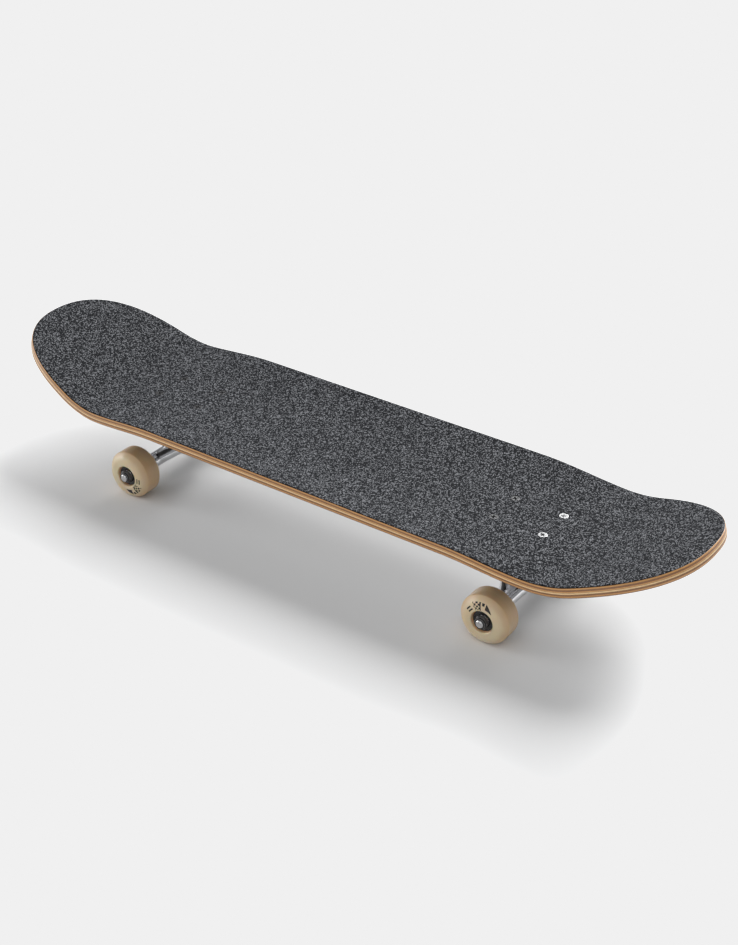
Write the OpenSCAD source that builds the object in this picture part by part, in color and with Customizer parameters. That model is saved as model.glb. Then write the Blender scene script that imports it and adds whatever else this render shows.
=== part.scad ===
// Skateboard: seven-ply deck with grip tape, two kingpin trucks and four wheels on ball bearings.
// X runs along the deck with the nose at +X, Y runs across it, Z is up and the wheels stand on Z = 0.
// Left and right are as seen by a rider who faces the nose, so left is +Y.

/* [Deck] */
// Length from tip to tip
deck_len = 810; // [780:1:840]
// Width across the middle
deck_w = 204; // [198:1:216]
// Thickness of the seven plies together
deck_t = 10.8; // [10:0.1:12]
// Rise of the long edges above the flat middle strip
concave = 7.3; // [4:0.1:9]
// Rise of the edges that is left on the nose and the tail
kick_concave = 1.7; // [0:0.1:4]
// Thickness of the grip tape
grip_t = 0.9; // [0.6:0.1:1.2]

/* [Nose and tail] */
// Angle at which the nose rises
nose_angle = 20.5; // [16:0.1:24]
// Angle at which the tail rises
tail_angle = 21.4; // [16:0.1:24]
// Distance from the middle of the deck to where the nose begins to bend up
nose_flat = 271.5; // [266:0.5:285]
// Distance from the middle of the deck to where the tail begins to bend up
tail_flat = 258.5; // [254:0.5:275]
// Radius of both bends
bend_r = 120; // [70:5:140]

/* [Trucks] */
// Distance between the inner bolt holes of the two trucks
wheelbase = 371.5; // [360:0.5:376]
// How far the middle of the wheelbase lies ahead of the middle of the deck
truck_shift = 4.1; // [0:0.1:6]
// Distance from the underside of the deck to the middle of the axle
axle_drop = 52; // [51:0.5:55]
// Length of the axle
axle_len = 206.5; // [205.5:0.5:209]
// Angle between the kingpin and the vertical
kingpin_angle = 20; // [18:0.5:22]

/* [Wheels] */
// Diameter of a wheel
wheel_d = 53; // [50:0.5:56]
// Width of a wheel
wheel_w = 30; // [29:0.5:32]
// Width of the tread between its two bevels
tread_w = 17.4; // [15:0.2:21]
// Radius at which a bevel meets the face of a wheel
wheel_face_r = 20.8; // [19:0.2:22]

/* [Hidden] */
$fn = 48;
front = 1;
rear = -1;
left = 1;
right = -1;
slack = 0.02;           // gap between a shaft and the part that is fixed on it
play = 0.1;             // gap between parts that move against each other
overlap = 1;            // how far a cut runs past the face that it opens
merge = 0.01;           // how far shapes of one piece run into each other
far = 60;               // longer than any local cut needs to be

function corner_r(flats) = flats / 2 / cos(30);

// Heights
deck_under = wheel_d / 2 + axle_drop;
deck_top = deck_under + deck_t;
grip_top = deck_top + grip_t;

// Plan shape: each half of the deck is a quarter of a superellipse on either side of its middle line
nose_power = 7.3;
side_power = 2.25;
dish_flat = 0.15;       // share of the half width that stays flat
dish_power = 2.15;
dish_fade_from = 178;   // where the concave begins to fade, from the middle of the deck
dish_fade_len = 94;
edge_inset = 0.6;       // how far the rounded top edge stands back at the grip tape

// Bolts that hold the trucks on: number 10, on the usual pattern
bolt_dx = 53.975;
bolt_dy = 41.275;
bolt_r = 2.4;
bolt_hole_r = 2.6;
bolt_len = 25.4;
bolt_head_r = 4.7;
bolt_head_h = 2.6;
bolt_head_sink = 0.3;
bolt_head_gap = 0.15;
bolt_recess_r = 2.1;
bolt_recess_w = 1.1;
bolt_recess_depth = 1.6;
nut_flats = 9.5;
nut_h = 5.8;
nut_collar_step = 0.2;  // how far a nut's round collar stands in from its flats
nut_insert_r = 3.6;
nut_insert_h = 1.4;
nut_ledge = 0.3;        // metal between a nut's insert and its hexagon
insert_recess = 0.1;    // how far an insert lies below the end of its nut
wrench_gap = 0.8;
front_truck_x = truck_shift + (wheelbase + bolt_dx) / 2;
rear_truck_x = truck_shift - (wheelbase + bolt_dx) / 2;

// Truck, in its own frame: X outboard from the middle of its bolts, Z up from the deck's underside
axle_x = 10.5;
ring_x = -9;
ring_z = -37;
pivot_x = 32.5;
pivot_z = -12.5;
pivot_lean = 40;        // lean of the pivot stem from the vertical
plate_t = 6;
plate_in = 36;
plate_out = 42;
plate_half_w = 27.5;
plate_corner_r = 7;
rib_half = 6;
rib = [[-26, 0], [-12, -17], [9, -17], [20, -12], [36, -14], [40, 0]];

// Stations along the kingpin, from the middle of the hanger's ring towards the road
ring_half = 5;
head_from = -36;
head_to = -30;
seat_at = -21;
board_washer_t = 1.5;
board_bushing_from = seat_at + board_washer_t;
road_bushing_to = 16;
road_washer_t = 1.5;
king_nut_from = road_bushing_to + road_washer_t;
king_nut_hex_h = 5.5;
king_nut_h = 7.5;
king_end = king_nut_from + king_nut_h + 1;
king_r = 4.76;
king_flats = 14.3;
king_recess_r = 3.2;
king_recess_depth = 3;
king_collar_r = 6.9;
king_insert_r = 6.3;
ring_r = 15.5;
ring_bore_r = 8.2;
bushing_r = 12;
bushing_barrel_r = 30;
bushing_cone_r = 8.8;
bushing_step = 2.5;     // how far a bushing reaches into the hanger's ring
bushing_rim = 2;
board_washer_r = 12.8;
road_washer_r = 9.4;
boss_r = 13.5;

// Pivot stem of the hanger and the cup that it turns in
pivot_ball_r = 5.5;
pivot_stem = [4.6, 6.4, 14];    // radius at the ball, radius at the hanger, length
pivot_seat = 2;         // from the ball's middle to the face of the baseplate
pivot_wall = 1.4;
mouth_flare = 1.6;
cup_r = 8;
cup_base = 7;
cup_mouth = 3.5;
cup_lip_r = 9.3;
cup_lip_t = 1.5;

// Axle, bearings and wheels, along Y from the middle of the truck
axle_r = 4;
hanger_half = 70.7;
hanger_tube = [
    [0, 0], [10, 0], [10, 12], [8.6, 36], [8.4, 63], [7.6, 67], [7.6, hanger_half], [0, hanger_half]
];
yoke_r = 14;
yoke_half = 4;
yoke_bar = [6, 58];     // radius and half length of the bar that the yoke runs into
neck_bar = [9, 13];     // the same for the pivot's neck
neck_end_r = 6.8;
neck_end_at = 15;
axle_chamfer = 0.7;
washer_t = 0.9;
washer_r = 5.6;
bearing_w = 7;
bearing_r = 11;
spacer_len = 10;
spacer_r = 5.5;
wheel_y = hanger_half + washer_t + bearing_w + spacer_len / 2;
bearing_off = (spacer_len + bearing_w) / 2;
axle_nut_from = wheel_y + spacer_len / 2 + bearing_w + washer_t;
axle_nut_flats = 12.7;
axle_nut_hex_h = 3.9;
axle_nut_h = 5.5;
axle_collar_r = 5.9;
axle_insert_r = 5.2;
ball_r = 1.984;
ball_count = 7;
ball_circle_r = 7.5;
groove_r = 2.03;
inner_race_r = 5.95;
outer_race_in_r = 9.1;
shield_in_r = 6.35;
shield_r = 9.5;
shield_t = 0.3;
shield_at = 3.05;
cage_in_r = 6.5;
cage_r = 8.5;
cage_from = -2.6;
cage_to = 0.9;
cage_gap = 0.06;
cage_open_share = 0.8;  // width of a cage pocket's mouth against its ball
recess_mouth_r = 12.2;
wheel_core_r = 9;       // radius of the hole between a wheel's two bearing seats
tread_corner_r = 2;
face_corner_r = 6.5;

black_metal = [0.07, 0.07, 0.075];
raw_metal = [0.78, 0.78, 0.80];

// ---------- deck and grip tape ----------

function clamp01(t) = min(1, max(0, t));
function ease(t) = let (u = clamp01(t)) u * u * (3 - 2 * u);

// Rise and slope of the middle line at a distance past the start of a bend
function kick_rise(past, angle) =
    past <= 0 ? 0
    : past < bend_r * sin(angle) ? bend_r - sqrt(bend_r * bend_r - past * past)
    : bend_r * (1 - cos(angle)) + (past - bend_r * sin(angle)) * tan(angle);
function kick_slope(past, angle) = past <= 0 ? 0 : past < bend_r * sin(angle) ? asin(past / bend_r) : angle;

// Height of the concave above the middle line
function dish(x, y) =
    let (across = max(0, (abs(y) / (deck_w / 2) - dish_flat) / (1 - dish_flat)))
    let (fade = ease((abs(x) - dish_fade_from) / dish_fade_len))
    (concave + (kick_concave - concave) * fade) * pow(across, dish_power);

// A station is [end of the deck, share of the half length, share of the half width]
tip_shares = [for (a = [4 : 8 : 68]) [pow(cos(a), 2 / nose_power), pow(sin(a), 2 / side_power)]];
bend_lengths = [for (x = [300 : -11 : 168]) 2 * x / deck_len];
middle_lengths = [0.29, 0.14];
side_lengths = concat(bend_lengths, middle_lengths);
side_shares = [for (s = side_lengths) [s, pow(1 - pow(s, nose_power), 1 / side_power)]];
half_shares = concat(tip_shares, side_shares);
half_count = len(half_shares);
stations = concat(
    [for (s = half_shares) [rear, s[0], s[1]]],
    [[front, 0, 1]],
    [for (i = [half_count - 1 : -1 : 0]) [front, half_shares[i][0], half_shares[i][1]]]
);
half_rows = [0.15, 0.33, 0.52, 0.7, 0.86, 1];
rows = concat([for (i = [len(half_rows) - 1 : -1 : 0]) -half_rows[i]], half_rows);
station_count = len(stations);
row_count = len(rows);

// A point of the deck: at a station and a share of its half width, inset from the outline, below the top
function deck_point(station, row, inset, depth) =
    let (end = station[0])
    let (x = (deck_len / 2 - inset) * station[1])
    let (y = row * (deck_w / 2 - inset) * station[2])
    let (past = x - (end == front ? nose_flat : tail_flat))
    let (angle = end == front ? nose_angle : tail_angle)
    let (slope = kick_slope(past, angle))
    let (rise = dish(x, y) - depth)
    [end * (x - rise * sin(slope)), y, deck_top + kick_rise(past, angle) + rise * cos(slope)];

rim = concat(
    [for (i = [0 : station_count - 1]) [i, row_count - 1]],
    [for (j = [row_count - 2 : -1 : 1]) [station_count - 1, j]],
    [for (i = [station_count - 1 : -1 : 0]) [i, 0]],
    [for (j = [1 : row_count - 2]) [0, j]]
);
rim_count = len(rim);

// A closed sheet that follows the deck; each layer is [inset, depth], from the top down
module deck_sheet(layers) {
    last = len(layers) - 1;
    function at(layer, i, j) = (layer * station_count + i) * row_count + j;
    function on_rim(layer, n) = at(layer, rim[n % rim_count][0], rim[n % rim_count][1]);
    points = [
        for (layer = layers, station = stations, row = rows) deck_point(station, row, layer[0], layer[1])
    ];
    top_faces = [
        for (i = [0 : station_count - 2], j = [0 : row_count - 2], half = [0, 1])
            half == 0 ? [at(0, i, j), at(0, i, j + 1), at(0, i + 1, j + 1)]
            : [at(0, i, j), at(0, i + 1, j + 1), at(0, i + 1, j)]
    ];
    under_faces = [
        for (i = [0 : station_count - 2], j = [0 : row_count - 2], half = [0, 1])
            half == 0 ? [at(last, i, j), at(last, i + 1, j + 1), at(last, i, j + 1)]
            : [at(last, i, j), at(last, i + 1, j), at(last, i + 1, j + 1)]
    ];
    side_faces = [
        for (layer = [0 : last - 1], n = [0 : rim_count - 1], half = [0, 1])
            half == 0 ? [on_rim(layer, n), on_rim(layer + 1, n), on_rim(layer + 1, n + 1)]
            : [on_rim(layer, n), on_rim(layer + 1, n + 1), on_rim(layer, n + 1)]
    ];
    polyhedron(points = points, faces = concat(top_faces, under_faces, side_faces));
}

module bolt_holes() {
    sink_top = grip_top - bolt_head_sink;
    for (x = [front_truck_x, rear_truck_x], dx = [-1, 1], dy = [-1, 1])
        translate([x + dx * bolt_dx / 2, dy * bolt_dy / 2, 0]) {
            translate([0, 0, deck_under - far / 2]) cylinder(r = bolt_hole_r, h = far);
            translate([0, 0, sink_top - bolt_head_h])
                cylinder(r1 = bolt_hole_r, r2 = bolt_head_r + bolt_head_gap, h = bolt_head_h);
            translate([0, 0, sink_top - merge / 10]) cylinder(r = bolt_head_r + bolt_head_gap, h = far);
        }
}

module deck() {
    edge = [
        [edge_inset, 0], [edge_inset / 4, deck_t * 0.15], [0, deck_t / 3], [0, deck_t * 2 / 3],
        [edge_inset * 1.2, deck_t * 0.89], [edge_inset * 3.7, deck_t]
    ];
    color([0.80, 0.60, 0.38]) difference() {
        deck_sheet(edge);
        bolt_holes();
    }
}

module grip_tape() {
    color([0.20, 0.20, 0.22]) difference() {
        deck_sheet([[edge_inset, -grip_t], [edge_inset, 0]]);
        bolt_holes();
    }
}

// ---------- mounting bolts ----------

module mounting_bolt() {
    difference() {
        union() {
            translate([0, 0, -bolt_head_h]) cylinder(r1 = bolt_r, r2 = bolt_head_r, h = bolt_head_h);
            translate([0, 0, -bolt_len]) cylinder(r = bolt_r, h = bolt_len - bolt_head_h + merge);
        }
        for (turn = [0, 90])
            rotate([0, 0, turn])
                cube([2 * bolt_recess_r, bolt_recess_w, 2 * bolt_recess_depth], center = true);
    }
}

module mounting_bolts_at(x_list) {
    for (x = x_list, dy = [-1, 1])
        translate([x, dy * bolt_dy / 2, grip_top - bolt_head_sink]) mounting_bolt();
}

module mounting_bolts_silver() {
    color(raw_metal) mounting_bolts_at([front_truck_x + bolt_dx / 2]);
}

module mounting_bolts_black() {
    half = bolt_dx / 2;
    color(black_metal) mounting_bolts_at([front_truck_x - half, rear_truck_x + half, rear_truck_x - half]);
}

module at_mounting_nuts() {
    for (x = [front_truck_x, rear_truck_x], dx = [-1, 1], dy = [-1, 1])
        translate([x + dx * bolt_dx / 2, dy * bolt_dy / 2, deck_under - plate_t - nut_h]) children();
}

module mounting_nuts() {
    collar_h = nut_insert_h + nut_ledge;
    color(black_metal) at_mounting_nuts() difference() {
        union() {
            translate([0, 0, collar_h]) cylinder(r = corner_r(nut_flats), h = nut_h - collar_h, $fn = 6);
            cylinder(r = nut_flats / 2 - nut_collar_step, h = nut_h);
        }
        translate([0, 0, -overlap]) cylinder(r = bolt_r + slack, h = nut_h + 2 * overlap);
        translate([0, 0, -overlap]) cylinder(r = nut_insert_r, h = nut_insert_h + overlap);
    }
}

module mounting_nut_inserts() {
    color("white") at_mounting_nuts()
        ring(bolt_r + slack, nut_insert_r - slack, insert_recess, nut_insert_h);
}

// ---------- shared shapes ----------

// A flat ring between two radii, along Z
module ring(inner, outer, from, to) {
    translate([0, 0, from]) difference() {
        cylinder(r = outer, h = to - from);
        translate([0, 0, -overlap]) cylinder(r = inner, h = to - from + 2 * overlap);
    }
}

// A nut with a round collar that holds a nylon insert at its far end
module lock_nut(flats, bore_r, insert_r, collar_r, hex_h, full_h) {
    difference() {
        union() {
            cylinder(r = corner_r(flats), h = hex_h, $fn = 6);
            cylinder(r = collar_r, h = full_h);
        }
        translate([0, 0, -overlap]) cylinder(r = bore_r, h = full_h + 2 * overlap);
        translate([0, 0, hex_h + nut_ledge]) cylinder(r = insert_r, h = full_h);
    }
}

// ---------- frames ----------

// Children are drawn in a truck's own frame
module at_truck(end) {
    translate([end == front ? front_truck_x : rear_truck_x, 0, deck_under])
        rotate([0, 0, end == front ? 0 : 180]) children();
}

// Children are drawn along the kingpin: Z points at the road, from the middle of the hanger's ring
module along_kingpin() {
    translate([ring_x, 0, ring_z]) rotate([0, 180 + kingpin_angle, 0]) children();
}

// Children are drawn along the pivot stem: Z points from the pivot ball into the hanger
module along_pivot() {
    translate([pivot_x, 0, pivot_z]) rotate([0, 180 + pivot_lean, 0]) children();
}

// Children are drawn along the axle of a truck: Z points at the left (1) or right (-1) end of the axle
module along_axle(end, side) {
    translate([end == front ? front_truck_x + axle_x : rear_truck_x - axle_x, 0, wheel_d / 2])
        rotate([side == left ? -90 : 90, 0, 0]) children();
}

// ---------- baseplate side of a truck ----------

module plate_outline() {
    for (x = [-plate_in + plate_corner_r, plate_out - plate_corner_r])
        for (y = [-1, 1])
            translate([x, y * (plate_half_w - plate_corner_r)]) circle(r = plate_corner_r);
    translate([-plate_in, -plate_half_w + plate_corner_r])
        square([plate_in + plate_out, 2 * (plate_half_w - plate_corner_r)]);
    translate([-plate_in + plate_corner_r, -plate_half_w])
        square([plate_in + plate_out - 2 * plate_corner_r, 2 * plate_half_w]);
}

module baseplate(end) {
    nut_room_r = corner_r(nut_flats) + wrench_gap;
    head_room_r = corner_r(king_flats) + wrench_gap;
    color([0.72, 0.72, 0.74]) at_truck(end) difference() {
        intersection() {
            union() {
                translate([0, 0, -plate_t]) linear_extrude(plate_t) plate_outline();
                along_kingpin() translate([0, 0, seat_at - far]) cylinder(r = boss_r, h = far);
                along_pivot() translate([0, 0, pivot_seat - far])
                    cylinder(r = cup_lip_r + pivot_wall, h = far);
                translate([0, rib_half, 0]) rotate([90, 0, 0]) linear_extrude(2 * rib_half) polygon(rib);
            }
            translate([0, 0, -far]) linear_extrude(far) plate_outline();
        }
        for (dx = [-1, 1], dy = [-1, 1])
            translate([dx * bolt_dx / 2, dy * bolt_dy / 2, -plate_t]) {
                translate([0, 0, -overlap]) cylinder(r = bolt_hole_r, h = plate_t + 2 * overlap);
                translate([0, 0, -far]) cylinder(r = nut_room_r, h = far);
            }
        along_kingpin() {
            translate([0, 0, -far]) cylinder(r = king_r + slack, h = 2 * far);
            translate([0, 0, head_to - far]) cylinder(r = head_room_r, h = far);
            translate([0, 0, seat_at]) cylinder(r = boss_r + overlap, h = far);
        }
        along_pivot() {
            translate([0, 0, -cup_base]) cylinder(r = cup_r + slack, h = far);
            translate([0, 0, pivot_seat]) cylinder(r = cup_lip_r + pivot_wall + overlap, h = far);
        }
    }
}

module pivot_cup(end) {
    mouth_r = pivot_ball_r + mouth_flare;
    color([0.10, 0.10, 0.11]) at_truck(end) along_pivot() difference() {
        union() {
            translate([0, 0, -cup_base]) cylinder(r = cup_r, h = cup_base + cup_mouth);
            translate([0, 0, cup_mouth - cup_lip_t]) cylinder(r = cup_lip_r, h = cup_lip_t);
        }
        sphere(r = pivot_ball_r + play);
        cylinder(r1 = pivot_ball_r + play, r2 = mouth_r, h = cup_mouth);
        translate([0, 0, cup_mouth - merge / 10]) cylinder(r = mouth_r, h = overlap);
    }
}

module kingpin(end) {
    color(black_metal) at_truck(end) along_kingpin() {
        difference() {
            union() {
                translate([0, 0, head_from])
                    cylinder(r = corner_r(king_flats), h = head_to - head_from, $fn = 6);
                translate([0, 0, head_from + overlap])
                    cylinder(r = king_r, h = king_end - head_from - overlap);
            }
            translate([0, 0, head_from - overlap])
                cylinder(r = king_recess_r, h = king_recess_depth + overlap, $fn = 6);
        }
    }
}

module kingpin_nut(end) {
    color(black_metal) at_truck(end) along_kingpin() translate([0, 0, king_nut_from])
        lock_nut(king_flats, king_r + slack, king_insert_r, king_collar_r, king_nut_hex_h, king_nut_h);
}

module kingpin_nut_insert(end) {
    from = king_nut_hex_h + nut_ledge;
    color("white") at_truck(end) along_kingpin() translate([0, 0, king_nut_from])
        ring(king_r + slack, king_insert_r - slack, from, king_nut_h - insert_recess);
}

// The barrel next to the deck, with a step that centres it in the hanger's ring
module board_bushing(end) {
    bushing_h = -ring_half - board_bushing_from;
    color([0.13, 0.13, 0.14]) at_truck(end) along_kingpin() {
        translate([0, 0, board_bushing_from]) rotate_extrude() intersection() {
            translate([king_r + play, 0]) square([bushing_r, bushing_h]);
            translate([bushing_r - bushing_barrel_r, bushing_h / 2])
                circle(r = bushing_barrel_r, $fn = 96);
        }
        ring(king_r + play, ring_bore_r - play, -ring_half - merge, -ring_half + bushing_step);
    }
}

// The cone next to the road
module road_bushing(end) {
    color([0.13, 0.13, 0.14]) at_truck(end) along_kingpin() {
        rotate_extrude() polygon([
            [king_r + play, ring_half], [bushing_r, ring_half], [bushing_r, ring_half + bushing_rim],
            [bushing_cone_r, road_bushing_to], [king_r + play, road_bushing_to]
        ]);
        ring(king_r + play, ring_bore_r - play, ring_half - bushing_step, ring_half + merge);
    }
}

module cup_washers(end) {
    color(raw_metal) at_truck(end) along_kingpin() {
        ring(king_r + slack, board_washer_r, seat_at, board_bushing_from);
        ring(king_r + slack, road_washer_r, road_bushing_to, king_nut_from);
    }
}

// ---------- hanger side of a truck ----------

// A round bar across the truck along its axle; size is [radius, half length]
module cross_bar(size) {
    translate([axle_x, 0, -axle_drop]) rotate([90, 0, 0])
        cylinder(r = size[0], h = 2 * size[1], center = true, $fn = 32);
}

module hanger(end) {
    color([0.75, 0.75, 0.77]) at_truck(end) difference() {
        union() {
            for (side = [-90, 90])
                translate([axle_x, 0, -axle_drop]) rotate([side, 0, 0])
                    rotate_extrude() polygon(hanger_tube);
            along_kingpin() translate([0, 0, -ring_half]) cylinder(r = ring_r, h = 2 * ring_half);
            hull() {
                along_kingpin() cylinder(r = yoke_r, h = 2 * yoke_half, center = true, $fn = 32);
                cross_bar(yoke_bar);
            }
            hull() {
                cross_bar(neck_bar);
                along_pivot() translate([0, 0, neck_end_at]) sphere(r = neck_end_r, $fn = 32);
            }
            along_pivot() cylinder(r1 = pivot_stem[0], r2 = pivot_stem[1], h = pivot_stem[2]);
            along_pivot() sphere(r = pivot_ball_r);
        }
        along_kingpin() {
            translate([0, 0, ring_half]) cylinder(r = boss_r, h = far);
            translate([0, 0, -ring_half - far]) cylinder(r = ring_r, h = far);
            translate([0, 0, -far / 2]) cylinder(r = ring_bore_r, h = far);
        }
        translate([axle_x, 0, -axle_drop]) rotate([90, 0, 0])
            cylinder(r = axle_r + slack, h = axle_len, center = true);
    }
}

module axle(end) {
    color(raw_metal) along_axle(end, left) {
        cylinder(r = axle_r, h = axle_len - 2 * axle_chamfer, center = true);
        for (side = [0, 180])
            rotate([side, 0, 0]) translate([0, 0, axle_len / 2 - axle_chamfer])
                cylinder(r1 = axle_r, r2 = axle_r - axle_chamfer, h = axle_chamfer);
    }
}

module axle_nuts(end) {
    for (side = [left, right])
        color(black_metal) along_axle(end, side) translate([0, 0, axle_nut_from])
            lock_nut(
                axle_nut_flats, axle_r + slack, axle_insert_r, axle_collar_r, axle_nut_hex_h, axle_nut_h
            );
}

module axle_nut_inserts(end) {
    from = axle_nut_hex_h + nut_ledge;
    for (side = [left, right])
        color(black_metal) along_axle(end, side) translate([0, 0, axle_nut_from])
            ring(axle_r + slack, axle_insert_r - slack, from, axle_nut_h - insert_recess);
}

module speed_washers(end) {
    for (side = [left, right], from = [hanger_half, axle_nut_from - washer_t])
        color(raw_metal) along_axle(end, side) ring(axle_r + slack, washer_r, from, from + washer_t);
}

module bearing_spacers(end) {
    for (side = [left, right])
        color(raw_metal) along_axle(end, side) translate([0, 0, wheel_y])
            ring(axle_r + slack, spacer_r, -spacer_len / 2, spacer_len / 2);
}

// Children are drawn once for each of a wheel's two bearings, from the bearing's middle
module at_bearings(end, side) {
    for (off = [-bearing_off, bearing_off])
        along_axle(end, side) translate([0, 0, wheel_y + off]) children();
}

module bearing_inner_races(end) {
    for (side = [left, right])
        color(raw_metal) at_bearings(end, side) rotate_extrude() difference() {
            translate([axle_r + slack, -bearing_w / 2]) square([inner_race_r - axle_r - slack, bearing_w]);
            translate([ball_circle_r, 0]) circle(r = groove_r);
        }
}

// ---------- wheels ----------

// Points along the arc of a radius that rounds the corner b between a and c
function rounded(a, b, c, radius, steps) =
    let (u = (a - b) / norm(a - b))
    let (v = (c - b) / norm(c - b))
    let (half = acos(u * v) / 2)
    let (centre = b + (u + v) / norm(u + v) * radius / sin(half))
    let (from = b + u * radius / tan(half) - centre)
    let (to = b + v * radius / tan(half) - centre)
    [for (k = [0 : steps]) let (p = from * (steps - k) + to * k) centre + p / norm(p) * radius];

module wheel(end, side) {
    half = wheel_w / 2;
    radius = wheel_d / 2;
    hub = [0, half];
    rim_corner = [radius, tread_w / 2];
    face_corner = [wheel_face_r, half];
    under_corner = [radius, -tread_w / 2];
    outline = concat(
        [hub], rounded(hub, face_corner, rim_corner, face_corner_r, 5),
        rounded(face_corner, rim_corner, under_corner, tread_corner_r, 3)
    );
    color([0.87, 0.83, 0.72]) along_axle(end, side) translate([0, 0, wheel_y]) rotate_extrude($fn = 96)
        difference() {
            polygon(concat(outline, [for (i = [len(outline) - 1 : -1 : 0]) [outline[i][0], -outline[i][1]]]));
            translate([-overlap, -half - overlap])
                square([wheel_core_r + overlap, wheel_w + 2 * overlap]);
            for (y = [0, 1])
                mirror([0, y]) polygon([
                    [0, spacer_len / 2], [bearing_r + slack, spacer_len / 2],
                    [bearing_r + slack, spacer_len / 2 + bearing_w],
                    [recess_mouth_r, half + merge], [0, half + merge]
                ]);
        }
}

module bearing_outer_races(end, side) {
    color(raw_metal) at_bearings(end, side) rotate_extrude() difference() {
        translate([outer_race_in_r, -bearing_w / 2]) square([bearing_r - outer_race_in_r, bearing_w]);
        translate([ball_circle_r, 0]) circle(r = groove_r);
        for (y = [-shield_at - shield_t - slack, shield_at - slack])
            translate([0, y]) square([shield_r + slack, shield_t + 2 * slack]);
    }
}

module bearing_shields(end, side) {
    color(black_metal) at_bearings(end, side) {
        ring(shield_in_r, shield_r, shield_at, shield_at + shield_t);
        ring(shield_in_r, shield_r, -shield_at - shield_t, -shield_at);
    }
}

module at_balls() {
    for (i = [0 : ball_count - 1])
        rotate([0, 0, i * 360 / ball_count]) translate([ball_circle_r, 0, 0]) children();
}

module bearing_balls(end, side) {
    color(raw_metal) at_bearings(end, side) at_balls() sphere(r = ball_r);
}

module bearing_cages(end, side) {
    color([0.85, 0.83, 0.78]) at_bearings(end, side) difference() {
        ring(cage_in_r, cage_r, cage_from, cage_to);
        at_balls() sphere(r = ball_r + cage_gap);
        at_balls() cylinder(r = ball_r * cage_open_share, h = cage_to + overlap);
    }
}

// ---------- nodes ----------

deck();
grip_tape();
mounting_bolts_black();
mounting_bolts_silver();
mounting_nuts();
mounting_nut_inserts();
baseplate(front);  // front_baseplate
pivot_cup(front);  // front_pivot_cup
kingpin(front);  // front_kingpin
kingpin_nut(front);  // front_kingpin_nut
kingpin_nut_insert(front);  // front_kingpin_nut_insert
board_bushing(front);  // front_board_bushing
road_bushing(front);  // front_road_bushing
cup_washers(front);  // front_cup_washers
hanger(front);  // front_hanger
axle(front);  // front_axle
axle_nuts(front);  // front_axle_nuts
axle_nut_inserts(front);  // front_axle_nut_inserts
speed_washers(front);  // front_speed_washers
bearing_spacers(front);  // front_bearing_spacers
bearing_inner_races(front);  // front_bearing_inner_races
baseplate(rear);  // rear_baseplate
pivot_cup(rear);  // rear_pivot_cup
kingpin(rear);  // rear_kingpin
kingpin_nut(rear);  // rear_kingpin_nut
kingpin_nut_insert(rear);  // rear_kingpin_nut_insert
board_bushing(rear);  // rear_board_bushing
road_bushing(rear);  // rear_road_bushing
cup_washers(rear);  // rear_cup_washers
hanger(rear);  // rear_hanger
axle(rear);  // rear_axle
axle_nuts(rear);  // rear_axle_nuts
axle_nut_inserts(rear);  // rear_axle_nut_inserts
speed_washers(rear);  // rear_speed_washers
bearing_spacers(rear);  // rear_bearing_spacers
bearing_inner_races(rear);  // rear_bearing_inner_races
wheel(front, left);  // front_left_wheel
bearing_outer_races(front, left);  // front_left_bearing_outer_races
bearing_shields(front, left);  // front_left_bearing_shields
bearing_balls(front, left);  // front_left_bearing_balls
bearing_cages(front, left);  // front_left_bearing_cages
wheel(front, right);  // front_right_wheel
bearing_outer_races(front, right);  // front_right_bearing_outer_races
bearing_shields(front, right);  // front_right_bearing_shields
bearing_balls(front, right);  // front_right_bearing_balls
bearing_cages(front, right);  // front_right_bearing_cages
wheel(rear, left);  // rear_left_wheel
bearing_outer_races(rear, left);  // rear_left_bearing_outer_races
bearing_shields(rear, left);  // rear_left_bearing_shields
bearing_balls(rear, left);  // rear_left_bearing_balls
bearing_cages(rear, left);  // rear_left_bearing_cages
wheel(rear, right);  // rear_right_wheel
bearing_outer_races(rear, right);  // rear_right_bearing_outer_races
bearing_shields(rear, right);  // rear_right_bearing_shields
bearing_balls(rear, right);  // rear_right_bearing_balls
bearing_cages(rear, right);  // rear_right_bearing_cages
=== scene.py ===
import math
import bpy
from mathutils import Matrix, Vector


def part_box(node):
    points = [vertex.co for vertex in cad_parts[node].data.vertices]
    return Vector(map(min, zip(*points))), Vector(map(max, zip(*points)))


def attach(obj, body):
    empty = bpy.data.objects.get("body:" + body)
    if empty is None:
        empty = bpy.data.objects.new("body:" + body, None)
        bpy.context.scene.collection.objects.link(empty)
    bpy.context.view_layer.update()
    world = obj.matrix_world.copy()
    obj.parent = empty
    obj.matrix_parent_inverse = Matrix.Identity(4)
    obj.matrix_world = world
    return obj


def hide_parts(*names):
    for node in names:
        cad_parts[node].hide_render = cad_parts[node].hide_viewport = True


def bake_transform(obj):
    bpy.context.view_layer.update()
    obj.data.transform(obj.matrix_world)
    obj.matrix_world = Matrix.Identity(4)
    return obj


bl_info = {
    "name": "Skateboard",
    "version": (1, 0, 0),
    "blender": (4, 5, 0),
    "location": "View3D > Sidebar > Skateboard",
    "description": "Builds the pieces and finishes of a complete skateboard around its packed frame",
    "category": "Object",
}

import bmesh
import bpy
from bpy.props import FloatProperty, FloatVectorProperty, IntProperty, PointerProperty
from mathutils import Matrix, Vector

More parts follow.
